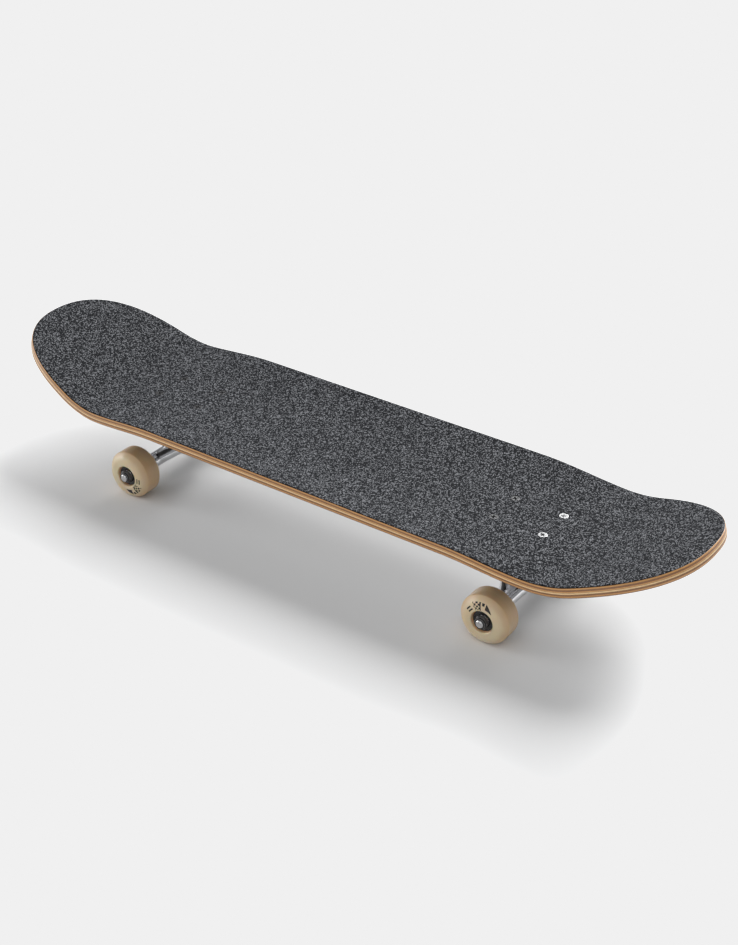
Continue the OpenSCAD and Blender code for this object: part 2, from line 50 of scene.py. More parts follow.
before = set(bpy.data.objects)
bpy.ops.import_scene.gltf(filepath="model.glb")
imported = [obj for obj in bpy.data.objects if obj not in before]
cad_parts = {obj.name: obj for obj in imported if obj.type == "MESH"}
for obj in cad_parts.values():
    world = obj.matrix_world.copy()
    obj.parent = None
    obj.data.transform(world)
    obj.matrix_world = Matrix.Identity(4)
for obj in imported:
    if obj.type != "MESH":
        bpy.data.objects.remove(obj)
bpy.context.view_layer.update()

MM = 0.001
WHEEL_LOW, WHEEL_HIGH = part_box("front_left_wheel")
REAR_WHEEL_LOW, REAR_WHEEL_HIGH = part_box("rear_left_wheel")
AXLE_LOW, AXLE_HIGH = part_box("front_axle")
GRIP_LOW, GRIP_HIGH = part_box("grip_tape")
AXLE_X = {"front": (AXLE_LOW.x + AXLE_HIGH.x) / 2 / MM,
    "rear": (REAR_WHEEL_LOW.x + REAR_WHEEL_HIGH.x) / 2 / MM}
WHEEL_Y = (WHEEL_LOW.y + WHEEL_HIGH.y) / 2 / MM
CORNERS = [(end, side) for end in ("front", "rear") for side in ("left", "right")]


# ---------- settings ----------

def length(name, description, value):
    """A length in millimetres, kept in metres."""
    return FloatProperty(name=name, description=description, default=value * MM, unit="LENGTH", precision=5)


def angle(name, description, degrees):
    return FloatProperty(name=name, description=description, default=math.radians(degrees), subtype="ANGLE")


def colour(name, description, value):
    return FloatVectorProperty(
        name=name, description=description, default=value, size=3, subtype="COLOR", min=0.0, max=1.0
    )


def number(name, description, value):
    return FloatProperty(name=name, description=description, default=value)


class DeckSettings(bpy.types.PropertyGroup):
    length: length("Length", "From tip to tip, seen from above", 810)
    width: length("Width", "Across the middle", 204)
    thickness: length("Thickness", "All the plies together", 10.8)
    plies: IntProperty(name="Plies", description="Number of maple veneers", default=7)
    concave: length("Concave", "Rise of the long edges", 7.3)
    kick_concave: length("Kick concave", "Rise of the edges left on nose and tail", 1.7)
    nose_angle: angle("Nose angle", "Slope of the nose", 20.5)
    tail_angle: angle("Tail angle", "Slope of the tail", 21.4)
    nose_flat: length("Nose bend", "From the middle of the deck to the bend of the nose", 271.5)
    tail_flat: length("Tail bend", "From the middle of the deck to the bend of the tail", 258.5)
    bend_radius: length("Bend radius", "Radius of both bends", 120)
    grip_thickness: length("Grip thickness", "Thickness of the grip tape", 0.9)
    light_ply: colour("Light ply", "Face-grain maple", (0.56, 0.28, 0.085))
    pale_ply: colour("Pale ply", "The palest veneer in the edge", (0.82, 0.59, 0.31))
    dark_ply: colour("Dark ply", "Cross-band veneers, cut across the grain", (0.17, 0.066, 0.019))
    stain: colour("Stain", "Stained veneer of the underside", (0.014, 0.011, 0.010))


class GripSettings(bpy.types.PropertyGroup):
    base: colour("Backing", "Resin between the grains", (0.0055, 0.006, 0.0075))
    grit: colour("Grit", "Grains that catch the light", (0.225, 0.231, 0.247))
    grain: length("Grain", "Spacing of the coarse grains", 0.95)


class TruckSettings(bpy.types.PropertyGroup):
    axle_forward: length("Axle offset", "Axle outboard of the middle of the bolts", 10.5)
    axle_drop: length("Axle drop", "Underside of the deck to the axle", 52)
    ring_x: length("Ring offset", "Middle of the hanger's ring, along the board", -9)
    ring_z: length("Ring drop", "Middle of the hanger's ring, below the deck", -37)
    pivot_x: length("Pivot offset", "Pivot ball, along the board", 32.5)
    pivot_z: length("Pivot drop", "Pivot ball, below the deck", -12.5)
    kingpin_angle: angle("Kingpin angle", "Lean of the kingpin", 20)
    pivot_lean: angle("Pivot lean", "Lean of the pivot stem", 40)
    plate: length("Plate", "Thickness of the baseplate", 6)
    hanger_half: length("Hanger half width", "Middle to the end of the hanger's tube", 70.7)
    voxel: length("Casting fineness", "Size of the steps that round the castings", 0.8)
    alloy: colour("Alloy", "Polished cast aluminium", (0.80, 0.80, 0.82))


class HardwareSettings(bpy.types.PropertyGroup):
    bolt_along: length("Bolt spacing along", "Between the bolts along the board", 53.975)
    bolt_across: length("Bolt spacing across", "Between the bolts across the board", 41.275)
    bolt_radius: length("Bolt radius", "Radius of the thread", 2.4)
    bolt_length: length("Bolt length", "Head and shank", 25.4)
    head_radius: length("Head radius", "Radius of the countersunk head", 4.7)
    head_height: length("Head height", "Height of the countersunk head", 2.6)
    kingpin_radius: length("Kingpin radius", "Radius of the kingpin", 4.76)
    black: colour("Black oxide", "Blackened steel", (0.018, 0.018, 0.020))
    steel: colour("Steel", "Bright steel and zinc plate", (0.72, 0.72, 0.73))
    rubber: colour("Urethane", "Black urethane of the bushings and pivot cups", (0.022, 0.022, 0.024))


class WheelSettings(bpy.types.PropertyGroup):
    radius: length("Radius", "Radius of a wheel", (WHEEL_HIGH.z - WHEEL_LOW.z) / 2 / MM)
    width: length("Width", "Width of a wheel", (WHEEL_HIGH.y - WHEEL_LOW.y) / MM)
    tread: length("Tread", "Width of the tread between its two bevels", 17.4)
    face_radius: length("Face radius", "Radius at which a bevel meets the face", 20.8)
    mouth_radius: length("Recess mouth", "Radius of the recess at the face", 12.2)
    core_radius: length("Core", "Radius of the rib between the bearings", 10)
    face_corner: length("Face corner", "Rounding where a bevel meets the face", 8)
    tread_corner: length("Tread corner", "Rounding where a bevel meets the tread", 2.5)
    urethane: colour("Urethane", "Cast urethane", (0.64, 0.55, 0.385))
    # This amber is a random tone in the cast. It is also painted shade in the recess and painted glow at the
    # tread.
    amber_and_painted_light: colour("Amber", "Where the urethane is deep and warm", (0.52, 0.27, 0.10))
    print_ink: colour("Ink", "Printed marks on the face", (0.010, 0.010, 0.011))


class StageSettings(bpy.types.PropertyGroup):
    camera: FloatVectorProperty(
        name="Camera", description="Place of the camera", default=(0.8102, -1.1403, 0.9002),
        subtype="TRANSLATION"
    )
    azimuth: angle("Azimuth", "Direction that the camera looks in, from +Y", 34.40)
    elevation: angle("Elevation", "How far the camera looks down", 30.92)
    roll: angle("Roll", "Turn of the camera about its own axis", 0.97)
    lens: number("Lens", "Focal length in millimetres on a 36 mm sensor", 59.73)
    key: number("Key light", "Strength of the soft light above and behind the board", 2.1)
    low: number("Low light", "Strength of the lower light behind the board", 3.1)
    side: number("Side light", "Strength of the low light beside the tail", 1.3)
    fill: number("Fill light", "Strength of the soft light beside the camera", 0.6)
    sky: number("Surround", "Brightness of the studio around the board", 0.28)
    backdrop: number("Backdrop", "Brightness of the backdrop as the camera sees it", 0.95)
    white: number("White point", "Brightest tone that is kept", 0.871)


GROUPS = {
    "deck": DeckSettings, "grip": GripSettings, "truck": TruckSettings,
    "hardware": HardwareSettings, "wheel": WheelSettings, "stage": StageSettings,
}


def settings(name):
    return getattr(bpy.context.scene, "skateboard_" + name)


def mm(name, field):
    """A length setting in millimetres."""
    return getattr(settings(name), field) / MM


# ---------- making meshes, all in millimetres ----------

def finished(bm, name, sharp=32):
    """The bmesh as a smooth-shaded mesh in metres, with its creases kept sharp."""
    bmesh.ops.recalc_face_normals(bm, faces=bm.faces)
    bmesh.ops.scale(bm, vec=(MM, MM, MM), verts=bm.verts)
    mesh = bpy.data.meshes.new(name)
    bm.to_mesh(mesh)
    bm.free()
    mesh.shade_smooth()
    mesh.set_sharp_from_angle(angle=math.radians(sharp))
    return mesh


def rounded(corners, steps=4, closed=True):
    """Profile points from (radius, height, rounding) corners."""
    points = []
    last = len(corners) - 1
    for i, corner in enumerate(corners):
        here = Vector(corner[:2])
        rounding = corner[2] if len(corner) > 2 else 0.0
        if rounding <= 0 or (not closed and i in (0, last)):
            points.append(tuple(here))
            continue
        back = (Vector(corners[i - 1][:2]) - here).normalized()
        ahead = (Vector(corners[(i + 1) % len(corners)][:2]) - here).normalized()
        half = back.angle(ahead) / 2
        centre = here + (back + ahead).normalized() * (rounding / math.sin(half))
        start = here + back * (rounding / math.tan(half)) - centre
        end = here + ahead * (rounding / math.tan(half)) - centre
        for k in range(steps + 1):
            points.append(tuple(centre + start.slerp(end, k / steps).normalized() * rounding))
    return points


def spin(points, count=64, closed=True):
    """Spins profile points about Z. A point is (radius, height), or a function of the angle that gives them."""
    bm = bmesh.new()
    rings = []
    for point in points:
        ring = []
        for k in range(count):
            turn = 2 * math.pi * k / count
            radius, height = point(turn) if callable(point) else point
            ring.append(bm.verts.new((radius * math.cos(turn), radius * math.sin(turn), height)))
            if radius < 1e-6:
                break
        rings.append(ring)
    for a, b in zip(rings, rings[1:] + (rings[:1] if closed else [])):
        for k in range(count):
            corners = [a[k % len(a)], a[(k + 1) % len(a)], b[(k + 1) % len(b)], b[k % len(b)]]
            corners = list(dict.fromkeys(corners))
            if len(corners) > 2:
                bm.faces.new(corners)
    return bm


def turned(name, corners, count=64, closed=True, steps=4, sharp=32):
    return finished(spin(rounded(corners, steps, closed), count, closed), name, sharp)


def hexagon(flats):
    """Distance from the middle of a hexagon to its outline, by angle."""
    def reach(turn):
        return flats / 2 / math.cos((turn + math.pi / 6) % (math.pi / 3) - math.pi / 6)
    return reach


def hex_band(flats, low, high, chamfer_low=True, chamfer_high=True):
    """Profile points up the outside of a hexagon whose corners are turned off at 30 degrees."""
    reach = hexagon(flats)
    flat_r = flats / 2 * 0.96
    slope = math.tan(math.radians(30))

    def edge(base, sign, on):
        return lambda turn: (reach(turn), base + sign * (max(0.0,
            reach(turn) - flat_r) * slope if on else 0.0))

    return [(flat_r, low), edge(low, 1, chamfer_low), edge(high, -1, chamfer_high), (flat_r, high)]


def thread(radius, pitch, low, high, cut=0.55, steps=6):
    """Profile points up a screw thread, with the crest faded out at both ends."""
    rows = max(2, int((high - low) / pitch * steps))

    def row(height):
        fade = min(1.0, (height - low) / pitch, (high - height) / pitch)

        def at(turn):
            phase = (height / pitch - turn / (2 * math.pi)) % 1
            groove = abs(2 * phase - 1)
            return radius - cut * pitch * groove * max(0.0, fade), height
        return at

    return [row(low + (high - low) * k / rows) for k in range(rows + 1)]


def assembled(name, parts):
    """One mesh from (mesh, matrix) pairs; the matrices are in metres."""
    bm = bmesh.new()
    for mesh, matrix in parts:
        start = len(bm.verts)
        bm.from_mesh(mesh)
        bm.verts.ensure_lookup_table()
        bmesh.ops.transform(bm, matrix=matrix, verts=bm.verts[start:])
    mesh = bpy.data.meshes.new(name)
    bm.to_mesh(mesh)
    bm.free()
    return mesh


def with_modifiers(mesh, steps):
    """The mesh after a list of (modifier type, settings) steps."""
    obj = bpy.data.objects.new("blank", mesh)
    bpy.context.scene.collection.objects.link(obj)
    for kind, values in steps:
        modifier = obj.modifiers.new(kind.lower(), kind)
        for key, value in values.items():
            setattr(modifier, key, value)
    depsgraph = bpy.context.evaluated_depsgraph_get()
    result = bpy.data.meshes.new_from_object(obj.evaluated_get(depsgraph), depsgraph=depsgraph)
    bpy.data.objects.remove(obj)
    return result


def cut(mesh, cutter, sharp=32):
    """The mesh less a cutter mesh."""
    tool = bpy.data.objects.new("cutter", cutter)
    bpy.context.scene.collection.objects.link(tool)
    tool.hide_render = True
    result = with_modifiers(mesh, [("BOOLEAN",
        {"operation": "DIFFERENCE", "solver": "EXACT", "object": tool})])
    bpy.data.objects.remove(tool)
    result.shade_smooth()
    result.set_sharp_from_angle(angle=math.radians(sharp))
    return result


def hulled(*meshes):
    """Convex hull of some placed (mesh, matrix) pairs."""
    joined = assembled("hull", meshes)
    bm = bmesh.new()
    for vertex in joined.vertices:
        bm.verts.new(vertex.co)
    made = bmesh.ops.convex_hull(bm, input=bm.verts)
    unused = [g for g in made["geom_interior"] + made["geom_unused"] if isinstance(g, bmesh.types.BMVert)]
    bmesh.ops.delete(bm, geom=list(set(unused)), context="VERTS")
    mesh = bpy.data.meshes.new("hull")
    bm.to_mesh(mesh)
    bm.free()
    return mesh


def bar(radius, low, high, count=48):
    """A solid round bar along Z."""
    return turned("bar", [(0, low), (radius, low), (radius, high), (0, high)], count, closed=False)


def ball(radius, count=48):
    arc = [math.pi * k / 24 - math.pi / 2 for k in range(25)]
    points = [(max(0.0, radius * math.cos(a)), radius * math.sin(a)) for a in arc]
    return finished(spin(points, count, closed=False), "ball")


def prism(outline, low, high):
    """A straight-sided solid from an outline of (x, y) points."""
    bm = bmesh.new()
    under = [bm.verts.new((x, y, low)) for x, y in outline]
    over = [bm.verts.new((x, y, high)) for x, y in outline]
    bm.faces.new(under[::-1])
    bm.faces.new(over)
    for i in range(len(outline)):
        j = (i + 1) % len(outline)
        bm.faces.new([under[i], under[j], over[j], over[i]])
    return finished(bm, "prism")


def moved(x=0.0, y=0.0, z=0.0):
    return Matrix.Translation(Vector((x, y, z)) * MM)


def turned_by(degrees, axis):
    return Matrix.Rotation(math.radians(degrees), 4, axis)


# ---------- where things are ----------

def deck_under():
    truck = settings("truck")
    return mm("wheel", "radius") + truck.axle_drop / MM


def deck_top():
    return deck_under() + mm("deck", "thickness")


def outward(end):
    return 1 if end == "front" else -1


def truck_x(end):
    return AXLE_X[end] - outward(end) * mm("truck", "axle_forward")


def at_truck(end):
    """Frame of a truck: X outboard from the middle of its bolts, Z up from the underside of the deck."""
    return moved(truck_x(end), 0, deck_under()) @ turned_by(0 if end == "front" else 180, "Z")


def along_kingpin():
    """Frame on the kingpin inside a truck's frame: Z points at the road from the middle of the ring."""
    truck = settings("truck")
    return moved(truck.ring_x / MM, 0, truck.ring_z / MM) @ Matrix.Rotation(math.pi + truck.kingpin_angle,
        4, "Y")


def along_pivot():
    """Frame on the pivot stem inside a truck's frame: Z points from the pivot ball into the hanger."""
    truck = settings("truck")
    return moved(truck.pivot_x / MM, 0, truck.pivot_z / MM) @ Matrix.Rotation(math.pi + truck.pivot_lean, 4,
        "Y")


def along_axle(end, side, out=0.0):
    """Frame on an axle: Z points out at the left or right end, out millimetres from the middle of the board."""
    turn = turned_by(-90 if side == "left" else 90, "X")
    return moved(AXLE_X[end], 0, mm("wheel", "radius")) @ turn @ moved(0, 0, out)


def bolt_places(ends=("front", "rear")):
    """Bolt centres as (end, x, y)."""
    along = mm("hardware", "bolt_along") / 2
    across = mm("hardware", "bolt_across") / 2
    return [(end, truck_x(end) + dx * along, dy * across) for end in ends for dx in (-1, 1) for dy in (-1, 1)]


# ---------- pieces ----------

def piece(name, mesh, material, body, nodes, place=None):
    """Puts a mesh in the scene as a named piece of the board."""
    mesh.materials.clear()
    mesh.materials.append(material)
    obj = bpy.data.objects.new(name, mesh)
    bpy.context.scene.collection.objects.link(obj)
    if place is not None:
        obj.matrix_world = place
    if body is not None:
        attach(obj, body)
    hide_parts(*nodes)
    return obj


def finish_nodes(material, slot, *names):
    """Gives carried-over nodes their finish."""
    for name in names:
        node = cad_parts[name]
        node.data.materials.clear()
        node.data.materials.append(material)


# ---------- materials ----------

def add(tree, kind, sockets=None, **values):
    """Adds a node; a socket's value is a constant or another node's output."""
    made = tree.nodes.new("ShaderNode" + kind)
    for key, value in values.items():
        setattr(made, key, value)
    for key, value in (sockets or {}).items():
        if isinstance(value, bpy.types.NodeSocket):
            tree.links.new(value, made.inputs[key])
        else:
            made.inputs[key].default_value = value
    return made


def calc(tree, operation, *values, clamp=False):
    """Output of a Math node."""
    return add(tree, "Math", dict(enumerate(values)), operation=operation, use_clamp=clamp).outputs[0]


def ramp(tree, factor, stops, interpolation="LINEAR"):
    """Output of a colour ramp with (place, grey or colour) stops."""
    made = add(tree, "ValToRGB", {"Fac": factor})
    elements = made.color_ramp.elements
    made.color_ramp.interpolation = interpolation
    while len(elements) < len(stops):
        elements.new(1.0)
    for element, (place, value) in zip(elements, stops):
        element.position = place
        shade = (value, value, value) if isinstance(value, (int, float)) else tuple(value)
        element.color = (*shade, 1.0)
    return made.outputs["Color"]


def tint(tree, factor, a, b, mode="MIX"):
    """Output of a colour Mix node."""
    made = add(tree, "Mix", {0: factor}, data_type="RGBA", blend_type=mode)
    for index, value in ((6, a), (7, b)):
        if isinstance(value, bpy.types.NodeSocket):
            tree.links.new(value, made.inputs[index])
        else:
            made.inputs[index].default_value = (*value, 1.0)
    return made.outputs[2]


def noise(tree, vector, scale, detail=2.0, roughness=0.5, distortion=0.0):
    made = add(tree, "TexNoise", {
        "Vector": vector, "Scale": scale, "Detail": detail, "Roughness": roughness, "Distortion": distortion
    })
    return made.outputs["Fac"]


def stretched(tree, vector, x, y, z):
    """Coordinates scaled along each axis."""
    return add(tree, "Mapping", {"Vector": vector, "Scale": (x, y, z)}).outputs["Vector"]


def bump(tree, height, distance, strength=1.0):
    return add(tree, "Bump", {"Height": height, "Distance": distance, "Strength": strength}).outputs["Normal"]


def new_material(name):
    """An empty node material and its object coordinates."""
    material = bpy.data.materials.new(name)
    material.use_nodes = True
    tree = material.node_tree
    tree.nodes.clear()
    return material, tree, add(tree, "TexCoord").outputs["Object"]


def surface(tree, sockets):
    """Ends a material in a Principled BSDF."""
    shader = add(tree, "BsdfPrincipled", sockets)
    out = add(tree, "OutputMaterial")
    tree.links.new(shader.outputs["BSDF"], out.inputs["Surface"])
    return shader


def group(name, inputs, outputs):
    """A new shader node group with its sockets; returns the tree, its input sockets and its output node."""
    tree = bpy.data.node_groups.new(name, "ShaderNodeTree")
    for title, kind, default in inputs:
        socket = tree.interface.new_socket(title, in_out="INPUT", socket_type="NodeSocket" + kind)
        if default is not None:
            socket.default_value = default
    for title, kind in outputs:
        tree.interface.new_socket(title, in_out="OUTPUT", socket_type="NodeSocket" + kind)
    source = tree.nodes.new("NodeGroupInput")
    return tree, source.outputs, tree.nodes.new("NodeGroupOutput")


def use(tree, name, sockets):
    """Places a node group in a material."""
    made = tree.nodes.new("ShaderNodeGroup")
    made.node_tree = bpy.data.node_groups[name]
    for key, value in sockets.items():
        if isinstance(value, bpy.types.NodeSocket):
            tree.links.new(value, made.inputs[key])
        else:
            made.inputs[key].default_value = value
    return made.outputs


def make_groups():
    """Effects that several finishes share."""
    tree, source, out = group(
        "Edge wear",
        [("Vector", "Vector", None), ("Scale", "Float", 400.0), ("Amount", "Float", 0.5)],
        [("Mask", "Float")],
    )
    edges = ramp(tree, add(tree, "NewGeometry").outputs["Pointiness"], [(0.50, 0.0), (0.56, 1.0)])
    patches = noise(tree, source["Vector"], source["Scale"], 4.0, 0.65)
    worn = calc(tree, "MULTIPLY", edges, patches)
    tree.links.new(calc(tree, "MULTIPLY", worn, source["Amount"], clamp=True), out.inputs["Mask"])

    tree, source, out = group(
        "Smudges",
        [("Vector", "Vector", None), ("Scale", "Float", 60.0), ("Low", "Float", 0.2), ("High", "Float", 0.4)],
        [("Value", "Float"), ("Mask", "Float")],
    )
    broad = noise(tree, source["Vector"], source["Scale"], 5.0, 0.6, 0.4)
    made = add(tree, "MapRange", {
        "Value": broad, "From Min": 0.3, "From Max": 0.7, "To Min": source["Low"], "To Max": source["High"]
    })
    tree.links.new(made.outputs["Result"], out.inputs["Value"])
    tree.links.new(broad, out.inputs["Mask"])

    tree, source, out = group(
        "Wood streaks",
        [("Vector", "Vector", None), ("Along", "Float", 8.0), ("Across", "Float", 500.0),
        ("Through", "Float", 900.0)],
        [("Mask", "Float"), ("Pores", "Float")],
    )
    scale = add(tree, "CombineXYZ", {"X": source["Along"], "Y": source["Across"], "Z": source["Through"]})
    stretch = add(tree, "VectorMath", {0: source["Vector"], 1: scale.outputs[0]},
        operation="MULTIPLY").outputs[0]
    streaks = noise(tree, stretch, 1.0, 6.0, 0.62, 0.6)
    fine = noise(tree, stretch, 3.7, 2.0, 0.5)
    tree.links.new(streaks, out.inputs["Mask"])
    tree.links.new(ramp(tree, fine, [(0.60, 0.0), (0.72, 1.0)]), out.inputs["Pores"])


def maple_finish():
    """Seven-ply maple: the ply is told by depth, the grain runs along the board, the underside is stained."""
    deck = settings("deck")
    material, tree, place = new_material("Maple")
    depth = add(tree, "Attribute", attribute_name="ply_depth").outputs["Fac"]
    wobble = noise(tree, stretched(tree, place, 14, 14, 60), 1.0, 3.0)
    level = calc(tree, "MULTIPLY_ADD", calc(tree, "SUBTRACT", wobble, 0.5), 0.030, depth)
    light, pale, dark = (tuple(c) for c in (deck.light_ply, deck.pale_ply, deck.dark_ply))
    plies = [light, dark, light, pale, dark, light, dark]
    share = 1 / deck.plies
    colours = ramp(tree, level, [(i * share, c) for i, c in enumerate(plies)], "CONSTANT")
    streaks = use(tree, "Wood streaks", {"Vector": place, "Along": 9.0, "Across": 420.0, "Through": 1300.0})
    toned = tint(tree, ramp(tree, streaks["Mask"], [(0.30, 0.0), (0.72, 0.55)]), colours,
        (0.36, 0.17, 0.06), "MIX")
    blotches = noise(tree, stretched(tree, place, 10, 40, 120), 1.0, 4.0)
    toned = tint(tree, ramp(tree, blotches, [(0.62, 0.0), (0.80, 0.6)]), toned, (0.22, 0.09, 0.035))
    within = calc(tree, "FRACT", calc(tree, "MULTIPLY", level, float(deck.plies)))
    glue = calc(tree, "LESS_THAN", calc(tree, "ABSOLUTE", calc(tree, "SUBTRACT", within, 0.5)), 0.44)
    toned = tint(tree, glue, tuple(c * 0.45 for c in dark), toned)
    figure = noise(tree, stretched(tree, place, 3.2, 38, 38), 1.0, 2.0, 0.5, 1.4)
    rings = calc(tree, "SINE", calc(tree, "MULTIPLY", figure, 60.0))
    grain = use(tree, "Wood streaks", {"Vector": place, "Along": 14.0, "Across": 900.0, "Through": 900.0})
    under = tint(tree, ramp(tree, rings, [(0.1, 0.0), (0.9, 0.75)]), tuple(deck.stain), (0.030, 0.022, 0.018))
    under = tint(tree, ramp(tree, grain["Mask"], [(0.35, 0.0), (0.75, 0.7)]), under,
        tuple(c * 0.4 for c in deck.stain))
    below = ramp(tree, depth, [(0.935, 0.0), (0.975, 1.0)])
    base = tint(tree, below, toned, under)
    height = calc(tree, "MULTIPLY_ADD", grain["Pores"], -0.6, calc(tree, "MULTIPLY", streaks["Mask"], 0.5))
    rough = use(tree, "Smudges", {"Vector": place, "Scale": 30.0, "Low": 0.34, "High": 0.52})["Value"]
    surface(tree, {
        "Base Color": base, "Roughness": rough, "Normal": bump(tree, height, 0.00012, 0.5),
        "Coat Weight": 0.25, "Coat Roughness": 0.22,
    })
    return material


def grip_finish():
    """Silicon carbide grit in black resin."""
    grip = settings("grip")
    material, tree, place = new_material("Grip tape")
    per_metre = 1 / grip.grain
    coarse = noise(tree, place, per_metre * 0.8, 2.0, 0.6)
    cells = add(tree, "TexVoronoi", {"Vector": place, "Scale": per_metre, "Randomness": 1.0})
    facets = ramp(tree, cells.outputs["Color"], [(0.64, 0.0), (0.74, 1.0)])
    fine = noise(tree, place, per_metre * 3.0, 2.0, 0.6)
    grains = ramp(tree, coarse, [(0.44, 0.0), (0.64, 1.0)])
    mask = calc(tree, "ADD", calc(tree, "MULTIPLY", grains, 0.12), calc(tree, "MULTIPLY", facets, 0.88),
        clamp=True)
    mask = calc(tree, "MULTIPLY", mask, ramp(tree, fine, [(0.30, 0.5), (0.55, 1.0)]), clamp=True)
    facing = add(tree, "SeparateXYZ", {0: add(tree, "NewGeometry").outputs["Normal"]}).outputs["Z"]
    mask = calc(tree, "MULTIPLY", mask, ramp(tree, facing, [(0.70, 0.0), (0.86, 1.0)]), clamp=True)
    drift = noise(tree, place, 9.0, 3.0)
    base = tint(tree, mask, tuple(grip.base), tuple(grip.grit))
    base = tint(tree, ramp(tree, drift, [(0.35, 0.0), (0.7, 0.08)]), base, (0.02, 0.021, 0.025))
    height = calc(tree, "ADD", calc(tree, "MULTIPLY", coarse, 0.6), calc(tree, "MULTIPLY", fine, 0.4))
    surface(tree, {
        "Base Color": base, "Roughness": ramp(tree, mask, [(0.0, 0.85), (1.0, 0.55)]),
        "Specular IOR Level": 0.05, "Normal": bump(tree, height, 0.0004, 0.7),
    })
    return material


def urethane_finish():
    """Cast urethane with a generic printed mark on the outer face, and amber laid on by radius as painted shade
    on the recess wall and painted glow and shade at the bevels and tread.
    """
    wheel = settings("wheel")
    material, tree, place = new_material("Wheel urethane")
    axes = add(tree, "SeparateXYZ", {0: place}).outputs
    flat = add(tree, "CombineXYZ", {"X": axes["X"], "Y": axes["Y"]}).outputs[0]
    radius = calc(tree, "MULTIPLY", add(tree, "VectorMath", {0: flat}, operation="LENGTH").outputs["Value"],
        1 / MM)
    turn = calc(tree, "DEGREES", calc(tree, "ARCTAN2", axes["Y"], axes["X"]))

    def band(value, low, high):
        return calc(tree, "MULTIPLY", calc(tree, "GREATER_THAN", value, low),
            calc(tree, "LESS_THAN", value, high))

    def patch(r_low, r_high, t_low, t_high):
        return calc(tree, "MULTIPLY", band(radius, r_low, r_high), band(turn, t_low, t_high))

    bars = calc(tree, "ADD", patch(14.6, 16.1, 26, 48), patch(17.6, 19.1, 28, 46))
    steps = calc(tree, "ADD", calc(tree, "FLOOR", calc(tree, "DIVIDE", radius, 2.0)),
                 calc(tree, "FLOOR", calc(tree, "DIVIDE", turn, 7.2)))
    checker = calc(tree, "LESS_THAN", calc(tree, "MODULO", calc(tree, "ADD", steps, 100.0), 2.0), 0.5)
    block = calc(tree, "MULTIPLY", patch(13.0, 21.6, -10, 17),
                 calc(tree, "MAXIMUM", checker, band(turn, -10, -5)))
    stripe = calc(tree, "MULTIPLY_ADD", calc(tree, "ADD", turn, 54.0), 0.20, 16.0)
    wedge = calc(tree, "MULTIPLY", patch(15.4, 21.8, -54, -26), calc(tree, "LESS_THAN", radius, stripe))
    dot = patch(18.6, 21.4, -22, -14)
    marks = calc(tree, "ADD", calc(tree, "ADD", bars, block), calc(tree, "ADD", wedge, dot), clamp=True)
    outer = calc(tree, "GREATER_THAN", axes["Z"], wheel.width * 0.30)
    marks = calc(tree, "MULTIPLY", marks, outer)

    clouds = noise(tree, place, 45.0, 3.0, 0.5)
    cast = tint(tree, ramp(tree, clouds, [(0.3, 0.0), (0.7, 0.25)]), tuple(wheel.urethane),
        tuple(wheel.amber_and_painted_light))
    # Painted shade and glow: amber by radius, strong on the recess wall as painted shade and rising toward the
    # tread as painted glow and shade.
    painted_recess_shade_and_rim_glow = ramp(tree, calc(tree, "DIVIDE", radius, mm("wheel", "radius")),
        [(0.42, 0.6), (0.47, 0.0), (0.80, 0.0), (1.0, 0.45)])
    cast = tint(tree, painted_recess_shade_and_rim_glow, cast, tuple(wheel.amber_and_painted_light))
    base = tint(tree, marks, cast, tuple(wheel.print_ink))
    fine = noise(tree, place, 700.0, 3.0)
    rough = use(tree, "Smudges", {"Vector": place, "Scale": 50.0, "Low": 0.30, "High": 0.46})["Value"]
    surface(tree, {
        "Base Color": base, "Roughness": rough, "Normal": bump(tree, fine, 0.00003, 0.4),
        "Subsurface Weight": 0.7, "Subsurface Radius": (1.0, 0.6, 0.25), "Subsurface Scale": 0.010,
    })
    return material


def metal_finish(name, tone, low, high, grain_scale=900.0, metallic=1.0, wear=0.0, coat=0.0,
    polish=(1.0, 1.0, 1.0)):
    """A metal with smudged gloss, fine tool marks and worn edges."""
    material, tree, place = new_material(name)
    rough = use(tree, "Smudges", {"Vector": place, "Scale": 70.0, "Low": low, "High": high})
    marks = noise(tree, stretched(tree, place, *polish), grain_scale, 3.0, 0.6)
    shade = ramp(tree, rough["Mask"], [(0.3, 0.0), (0.7, 1.0)])
    base = tint(tree, shade, tuple(tone), tuple(c * 0.82 for c in tone))
    sockets = {"Roughness": rough["Value"], "Metallic": metallic, "Normal": bump(tree, marks, 0.00004, 0.35)}
    if wear:
        worn = use(tree, "Edge wear", {"Vector": place, "Scale": 500.0, "Amount": wear})["Mask"]
        base = tint(tree, worn, base, (0.45, 0.45, 0.46))
        sockets["Metallic"] = calc(tree, "MAXIMUM", metallic, worn)
    if coat:
        sockets["Coat Weight"] = coat
        sockets["Coat Roughness"] = 0.15
    surface(tree, {"Base Color": base, **sockets})
    return material


def plastic_finish(name, tone, low, high, grain_scale=1200.0, depth=0.00004):
    """Moulded urethane, rubber or nylon."""
    material, tree, place = new_material(name)
    rough = use(tree, "Smudges", {"Vector": place, "Scale": 90.0, "Low": low, "High": high})
    skin = noise(tree, place, grain_scale, 3.0, 0.6)
    base = tint(tree, ramp(tree, rough["Mask"], [(0.3, 0.0), (0.7, 1.0)]), tuple(tone),
        tuple(c * 0.78 for c in tone))
    surface(tree, {"Base Color": base, "Roughness": rough["Value"], "Normal": bump(tree, skin, depth, 0.5)})
    return material


FINISHES = {}


def finish(name):
    return FINISHES[name]


